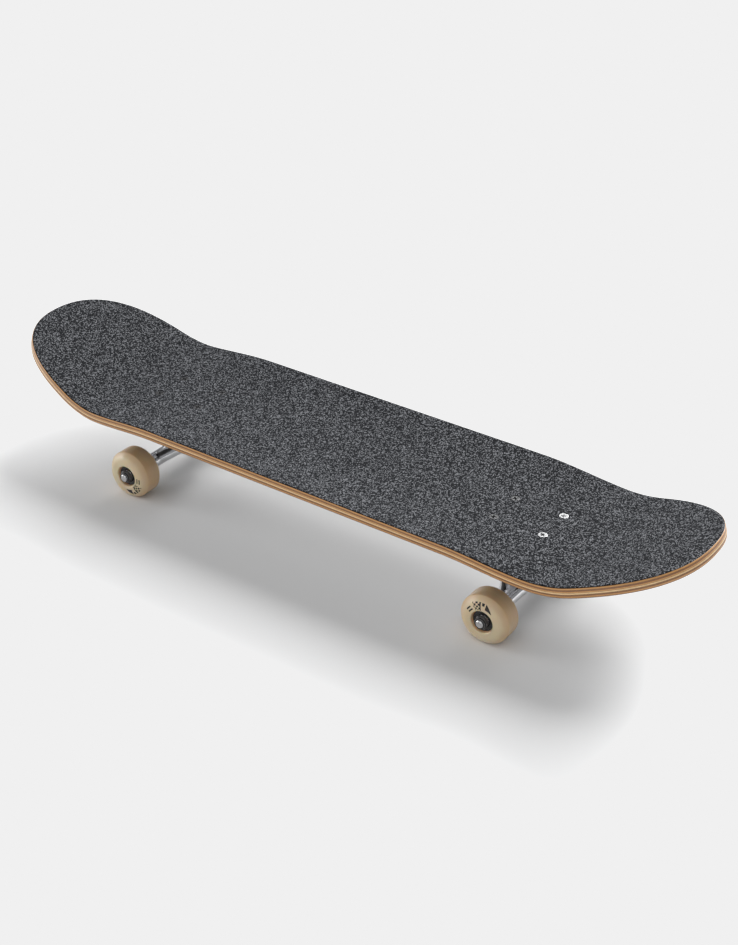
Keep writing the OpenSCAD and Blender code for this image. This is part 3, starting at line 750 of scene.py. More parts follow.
def make_finishes():
    hardware = settings("hardware")
    truck = settings("truck")
    make_groups()
    FINISHES["maple"] = maple_finish()
    FINISHES["grip"] = grip_finish()
    FINISHES["urethane"] = urethane_finish()
    FINISHES["polished"] = metal_finish("Polished hanger", truck.alloy, 0.06, 0.13, 500.0,
        polish=(1.0, 0.15, 1.0))
    FINISHES["tumbled"] = metal_finish("Tumbled baseplate", truck.alloy, 0.26, 0.42, 700.0)
    FINISHES["black"] = metal_finish("Black oxide steel", hardware.black, 0.32, 0.50, 900.0, 0.55, 0.5)
    FINISHES["shield"] = metal_finish("Lacquered shield", hardware.black, 0.22, 0.34, 900.0, 0.3, 0.0, 0.4)
    FINISHES["steel"] = metal_finish("Bright steel", hardware.steel, 0.14, 0.28, 1100.0)
    # Painted shade: the bearing steel is darkened to near black so the outer races read as the shade deep in
    # the wheel's recess.
    FINISHES["race"] = metal_finish("Bearing steel darkened as painted shade", tuple(c * 0.12 for c in hardware.steel), 0.20, 0.32,
        1100.0)
    FINISHES["zinc"] = metal_finish("Zinc plated bolts", tuple(c * 0.5 for c in hardware.steel), 0.26, 0.40,
        1100.0)
    FINISHES["bushing"] = plastic_finish("Bushing urethane", hardware.rubber, 0.34, 0.46)
    FINISHES["rubber"] = plastic_finish("Pivot cup urethane", hardware.rubber, 0.48, 0.62)
    FINISHES["nylon"] = plastic_finish("Nylon", (0.78, 0.77, 0.72), 0.38, 0.5)
    FINISHES["black_nylon"] = plastic_finish("Black nylon", (0.016, 0.016, 0.017), 0.36, 0.5)


# ---------- deck and grip tape ----------

def kick(past, slope, radius):
    """Rise and slope of the middle line at a distance past the start of a bend."""
    run = radius * math.sin(slope)
    if past <= 0:
        return 0.0, 0.0
    if past < run:
        return radius - math.sqrt(radius * radius - past * past), math.asin(past / radius)
    return radius * (1 - math.cos(slope)) + (past - run) * math.tan(slope), slope


class DeckForm:
    """The pressed shape of the deck, in millimetres."""

    nose_power = 7.3
    side_power = 2.25
    flat_share = 0.15
    dish_power = 2.15
    fade_from = 178
    fade_length = 94

    def __init__(self):
        deck = settings("deck")
        self.half_length = deck.length / MM / 2
        self.half_width = deck.width / MM / 2
        self.thickness = deck.thickness / MM
        self.concave = deck.concave / MM
        self.kick_concave = deck.kick_concave / MM
        self.ends = {
            1: (deck.nose_flat / MM, deck.nose_angle), -1: (deck.tail_flat / MM, deck.tail_angle)
        }
        self.bend_radius = deck.bend_radius / MM
        self.top = deck_top()

    def dish(self, x, y):
        """Height of the concave above the middle line."""
        across = max(0.0, (abs(y) / self.half_width - self.flat_share) / (1 - self.flat_share))
        fade = min(1.0, max(0.0, (abs(x) - self.fade_from) / self.fade_length))
        fade = fade * fade * (3 - 2 * fade)
        return (self.concave + (self.kick_concave - self.concave) * fade) * across ** self.dish_power

    def point(self, end, along, row, beam, inset, depth):
        """A point at a share of the half length and of the local half width, below the top by depth."""
        x = (self.half_length - inset) * along
        y = row * (self.half_width - inset) * beam
        flat, slope_at_tip = self.ends[end]
        rise, slope = kick(x - flat, slope_at_tip, self.bend_radius)
        lift = self.dish(x, y) - depth
        return Vector((end * (x - lift * math.sin(slope)), y, self.top + rise + lift * math.cos(slope)))

    def depth(self, point):
        """How far a point lies below the top face."""
        end = 1 if point.x >= 0 else -1
        flat, slope_at_tip = self.ends[end]
        x = abs(point.x)
        lift = 0.0
        for _ in range(6):
            rise, slope = kick(x - flat, slope_at_tip, self.bend_radius)
            lift = (point.z - self.top - rise) / math.cos(slope)
            x = abs(point.x) + lift * math.sin(slope)
        return self.dish(x, point.y) - lift

    def stations(self, fine=1.5):
        """(end, share of half length, share of half width) from the tail's tip to the nose's."""
        tip = []
        a = 0.8
        while a < 70:
            turn = math.radians(a)
            tip.append((math.cos(turn) ** (2 / self.nose_power), math.sin(turn) ** (2 / self.side_power)))
            a += fine * (0.5 if a < 12 else 1.0)
        share = tip[-1][0] - 0.008
        half = list(tip)
        while share > 0.01:
            half.append((share, (1 - share ** self.nose_power) ** (1 / self.side_power)))
            share -= 0.0135
        return [(-1, *s) for s in half] + [(1, 0.0, 1.0)] + [(1, *s) for s in reversed(half)]

    def sheet(self, layers, rows=36):
        """A closed sheet that follows the deck. Each layer is (inset, depth), from the top down."""
        stations = self.stations()
        shares = [math.sin(math.pi / 2 * (2 * j / rows - 1)) * 0.35 + (2 * j / rows - 1) * 0.65 for j in range(rows + 1)]
        bm = bmesh.new()

        def grid(inset, depth):
            return [[bm.verts.new(self.point(e, a, r, b, inset, depth)) for r in shares] for e, a,
                b in stations]

        top = grid(*layers[0])
        under = grid(*layers[-1])
        last = len(stations) - 1
        rim = [(i, rows) for i in range(last + 1)] + [(last, j) for j in range(rows - 1, 0, -1)]
        rim += [(i, 0) for i in range(last, -1, -1)] + [(0, j) for j in range(1, rows)]
        loops = [[top[i][j] for i, j in rim]]
        for inset, depth in layers[1:-1]:
            places = [(*stations[i], shares[j]) for i, j in rim]
            loops.append([bm.verts.new(self.point(e, a, r, b, inset, depth)) for e, a, b, r in places])
        loops.append([under[i][j] for i, j in rim])
        for i in range(last):
            for j in range(rows):
                bm.faces.new([top[i][j], top[i][j + 1], top[i + 1][j + 1], top[i + 1][j]])
                bm.faces.new([under[i][j], under[i + 1][j], under[i + 1][j + 1], under[i][j + 1]])
        for a, b in zip(loops, loops[1:]):
            for k in range(len(rim)):
                n = (k + 1) % len(rim)
                bm.faces.new([a[k], b[k], b[n], a[n]])
        return bm


def edge_layers(thickness):
    """The routed edge: a small round above, a bigger one below, as (inset, depth)."""
    upper, lower = 2.6, 3.4
    layers = []
    for k in range(7):
        a = math.pi / 2 * k / 6
        layers.append((0.6 * (1 - math.sin(a)) ** 1.6, upper * (1 - math.cos(a))))
    layers += [(0.0, upper + (thickness - upper - lower) * k / 5) for k in range(1, 5)]
    for k in range(10):
        a = math.pi / 2 * k / 9
        layers.append((2.2 * (1 - math.cos(a)), thickness - lower * (1 - math.sin(a))))
    return layers


def hole_cutters(sink_top):
    """All eight bolt holes with their countersinks."""
    hole, clearance, far = 2.6, 0.15, 60
    head = mm("hardware", "head_radius") + clearance
    height = mm("hardware", "head_height")
    cone = turned("hole", [
        (0, -far), (hole, -far), (hole, sink_top - height), (head, sink_top), (head, sink_top + far),
        (0, sink_top + far)
    ], 40, closed=False)
    return assembled("holes", [(cone, moved(x, y, 0)) for _, x, y in bolt_places()])


def head_top():
    sink = 0.3
    return deck_top() + mm("deck", "grip_thickness") - sink


def build_deck():
    form = DeckForm()
    blank = finished(form.sheet(edge_layers(form.thickness)), "deck_blank", 40)
    mesh = cut(blank, hole_cutters(head_top()), 40)
    depth = mesh.attributes.new("ply_depth", "FLOAT", "POINT")
    shares = [min(1.0, max(0.0, form.depth(v.co / MM) / form.thickness)) for v in mesh.vertices]
    depth.data.foreach_set("value", shares)
    piece("deck_plies", mesh, finish("maple"), "board", ["deck"])


def build_grip():
    form = DeckForm()
    thickness = mm("deck", "grip_thickness")
    layers = [(1.9, -thickness), (1.5, -thickness * 0.92), (1.0, -thickness * 0.6),
        (0.7, -thickness * 0.25), (0.6, -0.02)]
    blank = finished(form.sheet(layers), "grip_blank", 40)
    piece("grip_sheet", cut(blank, hole_cutters(head_top()), 40), finish("grip"), "board", ["grip_tape"])


# ---------- bolts that hold the trucks on ----------

def cross_cutter(radius, width, depth):
    """A cross that narrows to its floor, for a Phillips recess."""
    def outline(reach, half):
        arm = [(reach, -half), (reach, half), (half, half)]
        points = []
        for k in range(4):
            c, s = round(math.cos(math.pi / 2 * k)), round(math.sin(math.pi / 2 * k))
            points += [(c * x - s * y, s * x + c * y) for x, y in arm]
        return points

    bm = bmesh.new()
    above = [bm.verts.new((x, y, 0.4)) for x, y in outline(radius * 1.06, width / 2)]
    below = [bm.verts.new((x, y, -depth)) for x, y in outline(radius * 0.42, width / 2 * 0.6)]
    bm.faces.new(above)
    bm.faces.new(below[::-1])
    for i in range(12):
        j = (i + 1) % 12
        bm.faces.new([above[i], above[j], below[j], below[i]])
    return finished(bm, "cross")


def bolt_mesh():
    radius, head, height = (mm("hardware", f) for f in ("bolt_radius", "head_radius", "head_height"))
    pitch = 0.794
    tip = -mm("hardware", "bolt_length")
    points = [(0, 0), (head - 0.5, 0), (head - 0.25, 0), (head - 0.05, -0.08), (head, -0.25)]
    points += [(radius + 0.15, -height + 0.15)]
    points += [(radius, -height - 0.3)] + thread(radius, pitch, tip + 0.5, -height - 1.5)[::-1]
    points += [(radius - 0.45, tip), (0, tip)]
    blank = finished(spin(points, 32, closed=False), "bolt", 40)
    return cut(blank, cross_cutter(head * 0.6, 1.9, 2.2), 40)


def lock_nut(name, flats, bore, insert, collar, hex_height, height):
    """A hexagon nut with a round collar turned over its insert, from Z = 0 up."""
    points = [(bore + 0.35, 0)] + hex_band(flats, 0, hex_height)
    points += [(collar, hex_height), (collar, height - 0.6), (collar - 0.2, height - 0.2),
        (collar - 0.6, height)]
    points += [(insert, height), (insert, hex_height + 0.3), (bore, hex_height + 0.3), (bore, 0.35)]
    return finished(spin(points, 72), name, 30)


def build_bolts():
    bolt = bolt_mesh()
    top = head_top()
    silver, black = [], []
    for i, (end, x, y) in enumerate(bolt_places()):
        rest = (bolt, moved(x, y, top) @ turned_by((17 + 29 * i) % 90, "Z"))
        (silver if end == "front" and x > truck_x("front") else black).append(rest)
    piece("nose_bolts_silver", assembled("nose_bolts_silver", silver), finish("zinc"), "board",
          ["mounting_bolts_silver"])
    piece("bolts_black", assembled("bolts_black", black), finish("black"), "board",
          ["mounting_bolts_black"])
    height, insert = 5.8, 3.6
    nut = lock_nut("nut", 9.5, mm("hardware", "bolt_radius") + 0.05, insert, 4.55, height - 1.7, height)
    ring = turned("insert", [(2.45, 0.1, 0.1), (insert - 0.02, 0.1, 0.1), (insert - 0.02, 1.4),
        (2.45, 1.4, 0.2)], 40)
    flip = turned_by(180, "X")
    base = deck_under() - mm("truck", "plate")
    nuts = [(nut, moved(x, y, base) @ flip @ turned_by(13 * i, "Z")) for i,
        (_, x, y) in enumerate(bolt_places())]
    rings = [(ring, moved(x, y, base - height)) for _, x, y in bolt_places()]
    piece("bolt_nuts", assembled("bolt_nuts", nuts), finish("black"), "board", ["mounting_nuts"])
    piece("bolt_nut_inserts", assembled("bolt_nut_inserts", rings), finish("nylon"), "board",
          ["mounting_nut_inserts"])


# ---------- trucks ----------

KINGPIN = {
    "head_low": -36, "head_high": -30, "seat": -21, "washer": 1.5, "ring_half": 5,
    "cone_end": 16, "nut_hex": 5.5, "nut_height": 7.5, "flats": 14.3,
}


def cast_solid(name, shells, rounds=6):
    """Runs overlapping solids together with the rounded joints of a casting."""
    voxel = settings("truck").voxel
    mesh = with_modifiers(assembled(name, shells), [
        ("REMESH", {"mode": "VOXEL", "voxel_size": voxel, "use_smooth_shade": True}),
        ("SMOOTH", {"factor": 0.5, "iterations": rounds}),
    ])
    return mesh


def plate_outline(inner=36, outer=42, half=27.5, corner=7, steps=6):
    points = []
    for cx, cy, start in ((outer, half, 0), (-inner, half, 90), (-inner, -half, 180), (outer, -half, 270)):
        x = cx - math.copysign(corner, cx)
        y = cy - math.copysign(corner, cy)
        for k in range(steps + 1):
            a = math.radians(start + 90 * k / steps)
            points.append((x + corner * math.cos(a), y + corner * math.sin(a)))
    return points


def baseplate_mesh():
    plate = mm("truck", "plate")
    king, pivot = along_kingpin(), along_pivot()
    boss_r, cup_lip, rib_half, far = 13.5, 9.3, 6, 60
    rib = [(-26, 0), (-12, -17), (9, -17), (20, -12), (36, -14), (40, 0)]
    stand = turned_by(90, "X")
    shells = [
        (prism(plate_outline(), -plate, 0), Matrix.Identity(4)),
        (bar(boss_r, KINGPIN["seat"] - 30, KINGPIN["seat"]), king),
        (bar(cup_lip + 1.4, -16, 2), pivot),
        (prism(rib, -rib_half, rib_half), stand),
    ]
    mesh = cast_solid("baseplate", shells)
    mesh = cut(mesh, prism(plate_outline(60, 66, 50, 7), 0, far))
    mesh = cut(mesh, assembled("seat", [(bar(boss_r + 1, KINGPIN["seat"], far), king)]))
    along, across = mm("hardware", "bolt_along") / 2, mm("hardware", "bolt_across") / 2
    seat = 9.5 / 2 / math.cos(math.pi / 6) + 0.8
    hole = turned("hole", [(0, 1), (2.6, 1), (2.6, -plate), (seat, -plate), (seat, -plate - far),
        (0, -plate - far)],
                  40, closed=False)
    holes = [(hole, moved(dx * along, dy * across, 0)) for dx in (-1, 1) for dy in (-1, 1)]
    mesh = cut(mesh, assembled("holes", holes))
    king_r = mm("hardware", "kingpin_radius") + 0.03
    head_seat = KINGPIN["flats"] / 2 / math.cos(math.pi / 6) + 0.5
    bore = turned("bore", [(0, far), (king_r, far), (king_r, KINGPIN["head_high"]),
        (head_seat, KINGPIN["head_high"]),
                           (head_seat, -far), (0, -far)], 48, closed=False)
    mesh = cut(mesh, assembled("bore", [(bore, king)]))
    cup = turned("cup", [(0, -7), (8.03, -7), (8.03, 2), (cup_lip + 3, 2), (cup_lip + 3, far), (0, far)],
        64, closed=False)
    return cut(mesh, assembled("cup", [(cup, pivot)]))


def hanger_mesh():
    truck = settings("truck")
    king, pivot = along_kingpin(), along_pivot()
    drop, forward, half = truck.axle_drop / MM, truck.axle_forward / MM, truck.hanger_half / MM
    axle = moved(forward, 0, -drop) @ turned_by(-90, "X")
    ring_half, far = KINGPIN["ring_half"], 60
    tube = [(0, -half), (7.6, -half), (7.6, -67), (8.4, -63), (8.6, -36), (10, -12)]
    tube = tube + [(r, -z) for r, z in reversed(tube)]
    shells = [
        (turned("tube", tube, 64, closed=False), axle),
        (bar(15.5, -ring_half, ring_half, 64), king),
        (hulled((bar(14, -4, 4, 64), king), (bar(6, -58, 58), axle)), Matrix.Identity(4)),
        (hulled((bar(9, -13, 13), axle), (ball(6.8), pivot @ moved(0, 0, 15))), Matrix.Identity(4)),
        (turned("stem", [(0, 0), (4.6, 0), (6.4, 14), (0, 14)], 48, closed=False), pivot),
    ]
    mesh = cast_solid("hanger", shells)
    bore = 8.2
    road_seat = turned("seat", [
        (0, ring_half), (13.5, ring_half), (13.5, far), (0, far)
    ], 64, closed=False)
    deck_seat = turned("seat", [(0, -ring_half - far), (15.5, -ring_half - far), (15.5, -ring_half),
        (0, -ring_half)],
                       64, closed=False)
    hole = turned("bore", [
        (0, -far), (bore + 1.2, -far), (bore + 1.2, -ring_half - 0.5), (bore, -ring_half + 0.7),
        (bore, ring_half - 0.7), (bore + 1.2, ring_half + 0.5), (bore + 1.2, far), (0, far)
    ], 64, closed=False)
    mesh = cut(mesh, assembled("seat", [(road_seat, king)]))
    mesh = cut(mesh, assembled("seat", [(deck_seat, king)]))
    mesh = cut(mesh, assembled("bore", [(hole, king)]))
    mesh = cut(mesh, assembled("bore", [(bar(4.05, -120, 120), axle)]))
    knob = ball(5.5)
    return assembled("hanger", [(mesh, Matrix.Identity(4)), (knob, pivot)])


def truck_piece(end, name, mesh, look, body="board", frame_matrix=None, nodes=None):
    place = at_truck(end) if frame_matrix is None else at_truck(end) @ frame_matrix
    return piece(f"{end}_{name}", mesh.copy(), finish(look), body, nodes or [f"{end}_{name}"], place)


def build_castings():
    baseplate, hanger = baseplate_mesh(), hanger_mesh()
    for end in ("front", "rear"):
        truck_piece(end, "baseplate_casting", baseplate, "tumbled",
            nodes=[f"{end}_baseplate"])
        truck_piece(end, "hanger_casting", hanger, "polished",
                    f"{end}_hanger_body", nodes=[f"{end}_hanger"])


def kingpin_mesh():
    radius = mm("hardware", "kingpin_radius")
    low, high = KINGPIN["head_low"], KINGPIN["head_high"]
    nut_from = KINGPIN["cone_end"] + KINGPIN["washer"]
    tip = nut_from + KINGPIN["nut_height"] + 1
    points = [(0, low)] + hex_band(KINGPIN["flats"], low, high, True, False)[:-1]
    points += [(radius + 0.4, high), (radius, high + 0.4), (radius, 4)] + thread(radius, 1.06, 5, tip - 0.6)
    points += [(radius - 0.7, tip), (0, tip)]
    blank = finished(spin(points, 72, closed=False), "kingpin", 35)
    socket = prism([(3.2 * math.cos(math.pi / 3 * k), 3.2 * math.sin(math.pi / 3 * k)) for k in range(6)],
                   low - 1, low + 3)
    return cut(blank, socket)


def build_kingpin_stack():
    radius = mm("hardware", "kingpin_radius")
    king = along_kingpin()
    half, seat, washer, cone_end = (KINGPIN[k] for k in ("ring_half", "seat", "washer", "cone_end"))
    bore = radius + 0.1
    nut_from = cone_end + washer
    insert_low = KINGPIN["nut_hex"] + 0.3
    nut = lock_nut("nut", KINGPIN["flats"], radius + 0.03, 6.3, 6.9, KINGPIN["nut_hex"],
        KINGPIN["nut_height"])
    ring = turned("insert", [
        (radius + 0.03, insert_low), (6.28, insert_low), (6.28, KINGPIN["nut_height"] - 0.15, 0.2),
        (radius + 0.03, KINGPIN["nut_height"] - 0.15, 0.4)
    ], 64)
    low = seat + washer
    barrel = [(bore, low, 0.3), (11.0, low, 0.8), (12.0, (low - half) / 2, 6), (11.0, -half, 0.8),
        (8.1, -half, 0.1),
              (8.1, -half + 2.5, 0.4), (bore, -half + 2.5, 0.3)]
    cone = [(bore, half - 2.5, 0.3), (8.1, half - 2.5, 0.4), (8.1, half, 0.1), (12.0, half, 0.9),
        (11.9, half + 2.2, 0.8),
            (8.8, cone_end, 0.8), (bore, cone_end, 0.3)]
    washers = assembled("washers", [
        (turned("washer", [(bore, 0, .2), (12.8, 0, .5), (12.8, 2.3, .35), (12.1, 2.3, .3), (12.1, 1.5, .2),
        (bore, 1.5, .2)], 72),
         moved(0, 0, seat)),
        (turned("washer", [(bore, 0, .2), (9.0, 0, .2), (9.1, -0.7, .2), (9.6, -0.7, .25), (9.6, 1.5, .6),
        (bore, 1.5, .2)], 72),
         moved(0, 0, cone_end)),
    ])
    cup = turned("cup", [
        (0, -7, 0), (8, -7, 0.6), (8, 2, 0.2), (9.3, 2, 0.4), (9.3, 3.5, 0.5), (7.1, 3.5, 0.5),
        (5.7, 0.6, 0.8), (5.6, 0, 0.5),
        (4.6, -3.2, 1.5), (0, -5.6, 0)
    ], 72, closed=False)
    kingpin = kingpin_mesh()
    for end in ("front", "rear"):
        truck_piece(end, "kingpin_bolt", kingpin, "black", frame_matrix=king,
            nodes=[f"{end}_kingpin"])
        truck_piece(end, "kingpin_lock_nut", nut, "black",
            frame_matrix=king @ moved(0, 0, nut_from),
                    nodes=[f"{end}_kingpin_nut"])
        truck_piece(end, "kingpin_nut_ring", ring, "nylon",
            frame_matrix=king @ moved(0, 0, nut_from),
                    nodes=[f"{end}_kingpin_nut_insert"])
        truck_piece(end, "bushing_washers", washers, "steel", frame_matrix=king,
                    nodes=[f"{end}_cup_washers"])
        truck_piece(end, "pivot_cup_moulding", cup, "rubber", frame_matrix=along_pivot(),
                    nodes=[f"{end}_pivot_cup"])
        for name, profile, fixed, moving, node in (
            ("barrel_bushing", barrel, low, -half, "board_bushing"),
            ("cone_bushing", cone, cone_end, half, "road_bushing")
        ):
            soft = truck_piece(end, name, dense_turned(profile), "bushing", body=None,
                frame_matrix=king,
                               nodes=[f"{end}_{node}"])
            place = at_truck(end) @ king
            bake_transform(soft)


def dense_turned(corners, spacing=0.8):
    """A turned piece with its rings set close together."""
    points = rounded(corners, 4, True)
    dense = []
    for a, b in zip(points, points[1:] + points[:1]):
        steps = max(1, int(math.dist(a, b) / spacing))
        dense += [(a[0] + (b[0] - a[0]) * k / steps, a[1] + (b[1] - a[1]) * k / steps) for k in range(steps)]
    return finished(spin(dense, 64), "bushing", 35)


def build_axles():
    radius = 4
    half = (AXLE_HIGH.y - AXLE_LOW.y) / 2 / MM
    threaded = 14
    tip = [(0, -half), (radius - 0.8, -half), (radius - 0.1, -half + 0.7)]
    tip += thread(radius, 1.06, -half + 0.7, -half + threaded)
    middle = [(radius, -half + threaded + 0.3), (radius, half - threaded - 0.3)]
    far_tip = thread(radius, 1.06, half - threaded, half - 0.7) + [(radius - 0.1, half - 0.7),
        (radius - 0.8, half), (0, half)]
    axle = finished(spin(tip + middle + far_tip, 32, closed=False), "axle", 40)
    for end in ("front", "rear"):
        piece(f"{end}_axle_bar", axle.copy(), finish("steel"), f"{end}_hanger_body", [f"{end}_axle"],
              along_axle(end, "left"))


# ---------- wheels, bearings and what holds them on ----------

BEARING = {"width": 7, "radius": 11, "bore": 4.02, "spacer": 10, "washer": 0.9}


def bearing_places():
    """Distance of both bearings' middles from the middle of the board."""
    off = (BEARING["spacer"] + BEARING["width"]) / 2
    return [WHEEL_Y - off, WHEEL_Y + off]


def wheel_mesh():
    radius, tread, face, mouth = (mm("wheel", f) for f in ("radius", "tread", "face_radius", "mouth_radius"))
    core, face_corner, tread_corner = (mm("wheel", f) for f in ("core_radius", "face_corner", "tread_corner"))
    half = mm("wheel", "width") / 2
    stop, seat = BEARING["spacer"] / 2, BEARING["spacer"] / 2 + BEARING["width"]
    side = [(core, stop, 0.3), (11.02, stop, 0), (11.02, seat, 0.15), (mouth - 0.4, half - 0.6, 0.3),
        (mouth + 0.3, half, 0.35),
            (face, half, face_corner), (radius, tread / 2, tread_corner)]
    seam = [(radius, 0.35, 0.1), (radius - 0.12, 0.0, 0.1), (radius, -0.35, 0.1)]
    other = [(r, -z, c) for r, z, c in reversed(side)]
    points = rounded(side + seam + other, 8)
    return finished(spin(points, 160), "wheel", 50)


def build_wheels():
    mesh = wheel_mesh()
    phases = {("front", "left"): 130, ("front", "right"): 106, ("rear", "left"): 300, ("rear", "right"): -39}
    for end, side in CORNERS:
        place = along_axle(end, side, WHEEL_Y) @ turned_by(phases[end, side], "Z")
        piece(f"{end}_{side}_cast_wheel", mesh.copy(), finish("urethane"), f"{end}_{side}_wheel_body",
              [f"{end}_{side}_wheel"], place)


def build_bearings():
    half, outer = BEARING["width"] / 2, BEARING["radius"]
    groove = [(9.1, -1.5), (9.35, -1.0), (9.53, 0), (9.35, 1.0), (9.1, 1.5)]
    race = turned("outer_race", [
        (9.1, -2.7), *groove, (9.1, 2.7), (9.55, 2.75, 0.05), (9.55, 3.32, 0.05), (9.35, half, 0.1),
        (outer, half, 0.55),
        (outer, -half, 0.55), (9.35, -half, 0.1), (9.55, -3.32, 0.05), (9.55, -2.75, 0.05)
    ], 96)
    bed = [(5.95, 1.5), (5.7, 1.0), (5.47, 0), (5.7, -1.0), (5.95, -1.5)]
    inner = turned("inner_race", [
        (BEARING["bore"], -half, 0.35), (BEARING["bore"], half, 0.35), (5.95, half, 0.25), *bed,
        (5.95, -half, 0.25)
    ], 72)
    shield = turned("shield", [
        (6.35, 3.02), (6.35, 3.28, 0.08), (7.05, 3.28, 0.06), (7.15, 3.36, 0.04), (7.9, 3.36, 0.04),
        (8.0, 3.26, 0.04),
        (8.45, 3.26, 0.04), (8.55, 3.36, 0.04), (9.2, 3.36, 0.05), (9.5, 3.3, 0.08), (9.5, 3.02)
    ], 96, steps=2)
    flip = turned_by(180, "X")
    for end, side in CORNERS:
        places = [along_axle(end, side, out) for out in bearing_places()]
        body = f"{end}_{side}_wheel_body"
        # The outer races wear the darkened steel, which is painted shade for the recess.
        piece(f"{end}_{side}_outer_races", assembled("outer_races", [(race, p) for p in places]),
            finish("race"), body,
              [f"{end}_{side}_bearing_outer_races"])
        shields = [(shield, p @ turn) for p in places for turn in (Matrix.Identity(4), flip)]
        piece(f"{end}_{side}_shields", assembled("shields", shields), finish("shield"), body,
              [f"{end}_{side}_bearing_shields"])
        finish_nodes(finish("steel"), "bright_steel", f"{end}_{side}_bearing_balls")
        finish_nodes(finish("nylon"), "nylon", f"{end}_{side}_bearing_cages")
    for end in ("front", "rear"):
        inners = [(inner, along_axle(end, side, out)) for side in ("left",
            "right") for out in bearing_places()]
        piece(f"{end}_inner_races", assembled("inner_races", inners), finish("steel"), f"{end}_hanger_body",
              [f"{end}_bearing_inner_races"])
        finish_nodes(finish("steel"), "bright_steel", f"{end}_bearing_spacers")


def build_axle_hardware():
    seat = WHEEL_Y + BEARING["spacer"] / 2 + BEARING["width"]
    thickness = BEARING["washer"]
    washer = turned("washer", [(4.05, 0, .1), (5.6, 0, .3), (5.6, thickness, .3), (4.05, thickness, .1)], 64)
    nut = lock_nut("axle_nut", 12.7, 4.03, 5.2, 5.9, 3.9, 5.5)
    ring = turned("insert", [(4.03, 4.2), (5.18, 4.2), (5.18, 5.35, .15), (4.03, 5.35, .35)], 48)
    for end in ("front", "rear"):
        body = f"{end}_hanger_body"
        sides = ("left", "right")
        outs = (mm("truck", "hanger_half"), seat)
        piece(f"{end}_axle_washers", assembled("washers",
            [(washer, along_axle(end, s, o)) for s in sides for o in outs]),
              finish("steel"), body, [f"{end}_speed_washers"])
        nuts = [(nut, along_axle(end, s, seat + thickness) @ turned_by(12 + 25 * i, "Z")) for i,
            s in enumerate(sides)]
        piece(f"{end}_axle_lock_nuts", assembled("nuts", nuts), finish("black"), body, [f"{end}_axle_nuts"])
        rings = [(ring, along_axle(end, s, seat + thickness)) for s in sides]
        piece(f"{end}_axle_nut_rings", assembled("rings", rings), finish("black_nylon"), body,
              [f"{end}_axle_nut_inserts"])


# ---------- stage ----------

def floor_finish():
    material, tree, place = new_material("Studio floor")
    mottle = noise(tree, place, 3.0, 3.0)
    base = tint(tree, ramp(tree, mottle, [(0.3, 0.0), (0.7, 1.0)]), (0.84, 0.84, 0.84), (0.85, 0.85, 0.85))
    surface(tree, {"Base Color": base, "Roughness": 0.9, "Specular IOR Level": 0.1})
    return material


def sun(name, strength, azimuth, elevation, spread):
    """A soft distant light that comes from an azimuth, counted from +Y towards +X, and an elevation."""
    light = bpy.data.lights.new(name, "SUN")
    light.energy = strength
    light.angle = math.radians(spread)
    obj = bpy.data.objects.new(name, light)
    bpy.context.scene.collection.objects.link(obj)
    a, e = math.radians(azimuth), math.radians(elevation)
    away = Vector((math.sin(a) * math.cos(e), math.cos(a) * math.cos(e), math.sin(e)))
    obj.rotation_euler = away.to_track_quat("Z", "Y").to_euler()
    obj.location = away * 3


def clip_whites(view, white):
    """Keeps tones as they are up to a white point and holds everything brighter at it, for an even backdrop."""
    view.view_transform = "Standard"
    view.use_curve_mapping = True
    mapping = view.curve_mapping
    mapping.extend = "HORIZONTAL"
    combined = mapping.curves[3]
    combined.points[1].location = (1.0, white)
    combined.points.new(white, white)
    for point in combined.points:
        point.handle_type = "VECTOR"
    mapping.update()


def build_stage():
    stage = settings("stage")
    scene = bpy.context.scene
    clip_whites(scene.view_settings, stage.white)
    bm = bmesh.new()
    bmesh.ops.create_grid(bm, x_segments=12, y_segments=12, size=9000)
    floor_mesh = finished(bm, "studio_floor")
    floor_mesh.materials.append(floor_finish())
    floor = bpy.data.objects.new("studio_floor", floor_mesh)
    scene.collection.objects.link(floor)
    floor.location.z = -0.0002
    sun("Key", stage.key, 10, 50, 34)
    sun("Low key", stage.low, -8, 27, 26)
    sun("Side", stage.side, -110, 12, 30)
    sun("Fill", stage.fill, 160, 45, 60)
    world = bpy.data.worlds.new("Studio")
    world.use_nodes = True
    background = world.node_tree.nodes["Background"]
    background.inputs["Color"].default_value = (0.97, 0.985, 1.0, 1.0)
    seen = add(world.node_tree, "LightPath").outputs["Is Camera Ray"]
    brightness = calc(world.node_tree, "MULTIPLY_ADD", seen, stage.backdrop - stage.sky, stage.sky)
    world.node_tree.links.new(brightness, background.inputs["Strength"])
    scene.world = world
    camera = bpy.data.objects.new("Camera", bpy.data.cameras.new("Camera"))
    scene.collection.objects.link(camera)
    camera.data.lens = stage.lens
    camera.data.clip_start = 0.01
    camera.location = stage.camera
    a, e = -stage.azimuth, stage.elevation
    ahead = Vector((math.sin(a) * math.cos(e), math.cos(a) * math.cos(e), -math.sin(e)))
    camera.rotation_mode = "QUATERNION"
    level = ahead.to_track_quat("-Z", "Y")
    camera.rotation_quaternion = level @ Matrix.Rotation(stage.roll, 3, "Z").to_quaternion()
    scene.camera = camera


# ---------- operators, panel and registration ----------

class SKATE_OT_finishes(bpy.types.Operator):
    """Makes every finish of the board"""
    bl_idname = "skateboard.finishes"
    bl_label = "Finishes"

    def execute(self, context):
        make_finishes()
        return {"FINISHED"}


class SKATE_OT_deck(bpy.types.Operator):
    """Presses the seven-ply deck and drills its bolt holes"""
    bl_idname = "skateboard.deck"
    bl_label = "Deck"

    def execute(self, context):
        build_deck()
        return {"FINISHED"}


class SKATE_OT_grip(bpy.types.Operator):
    """Lays the grip tape on the deck"""
    bl_idname = "skateboard.grip"
    bl_label = "Grip tape"

    def execute(self, context):
        build_grip()
        return {"FINISHED"}


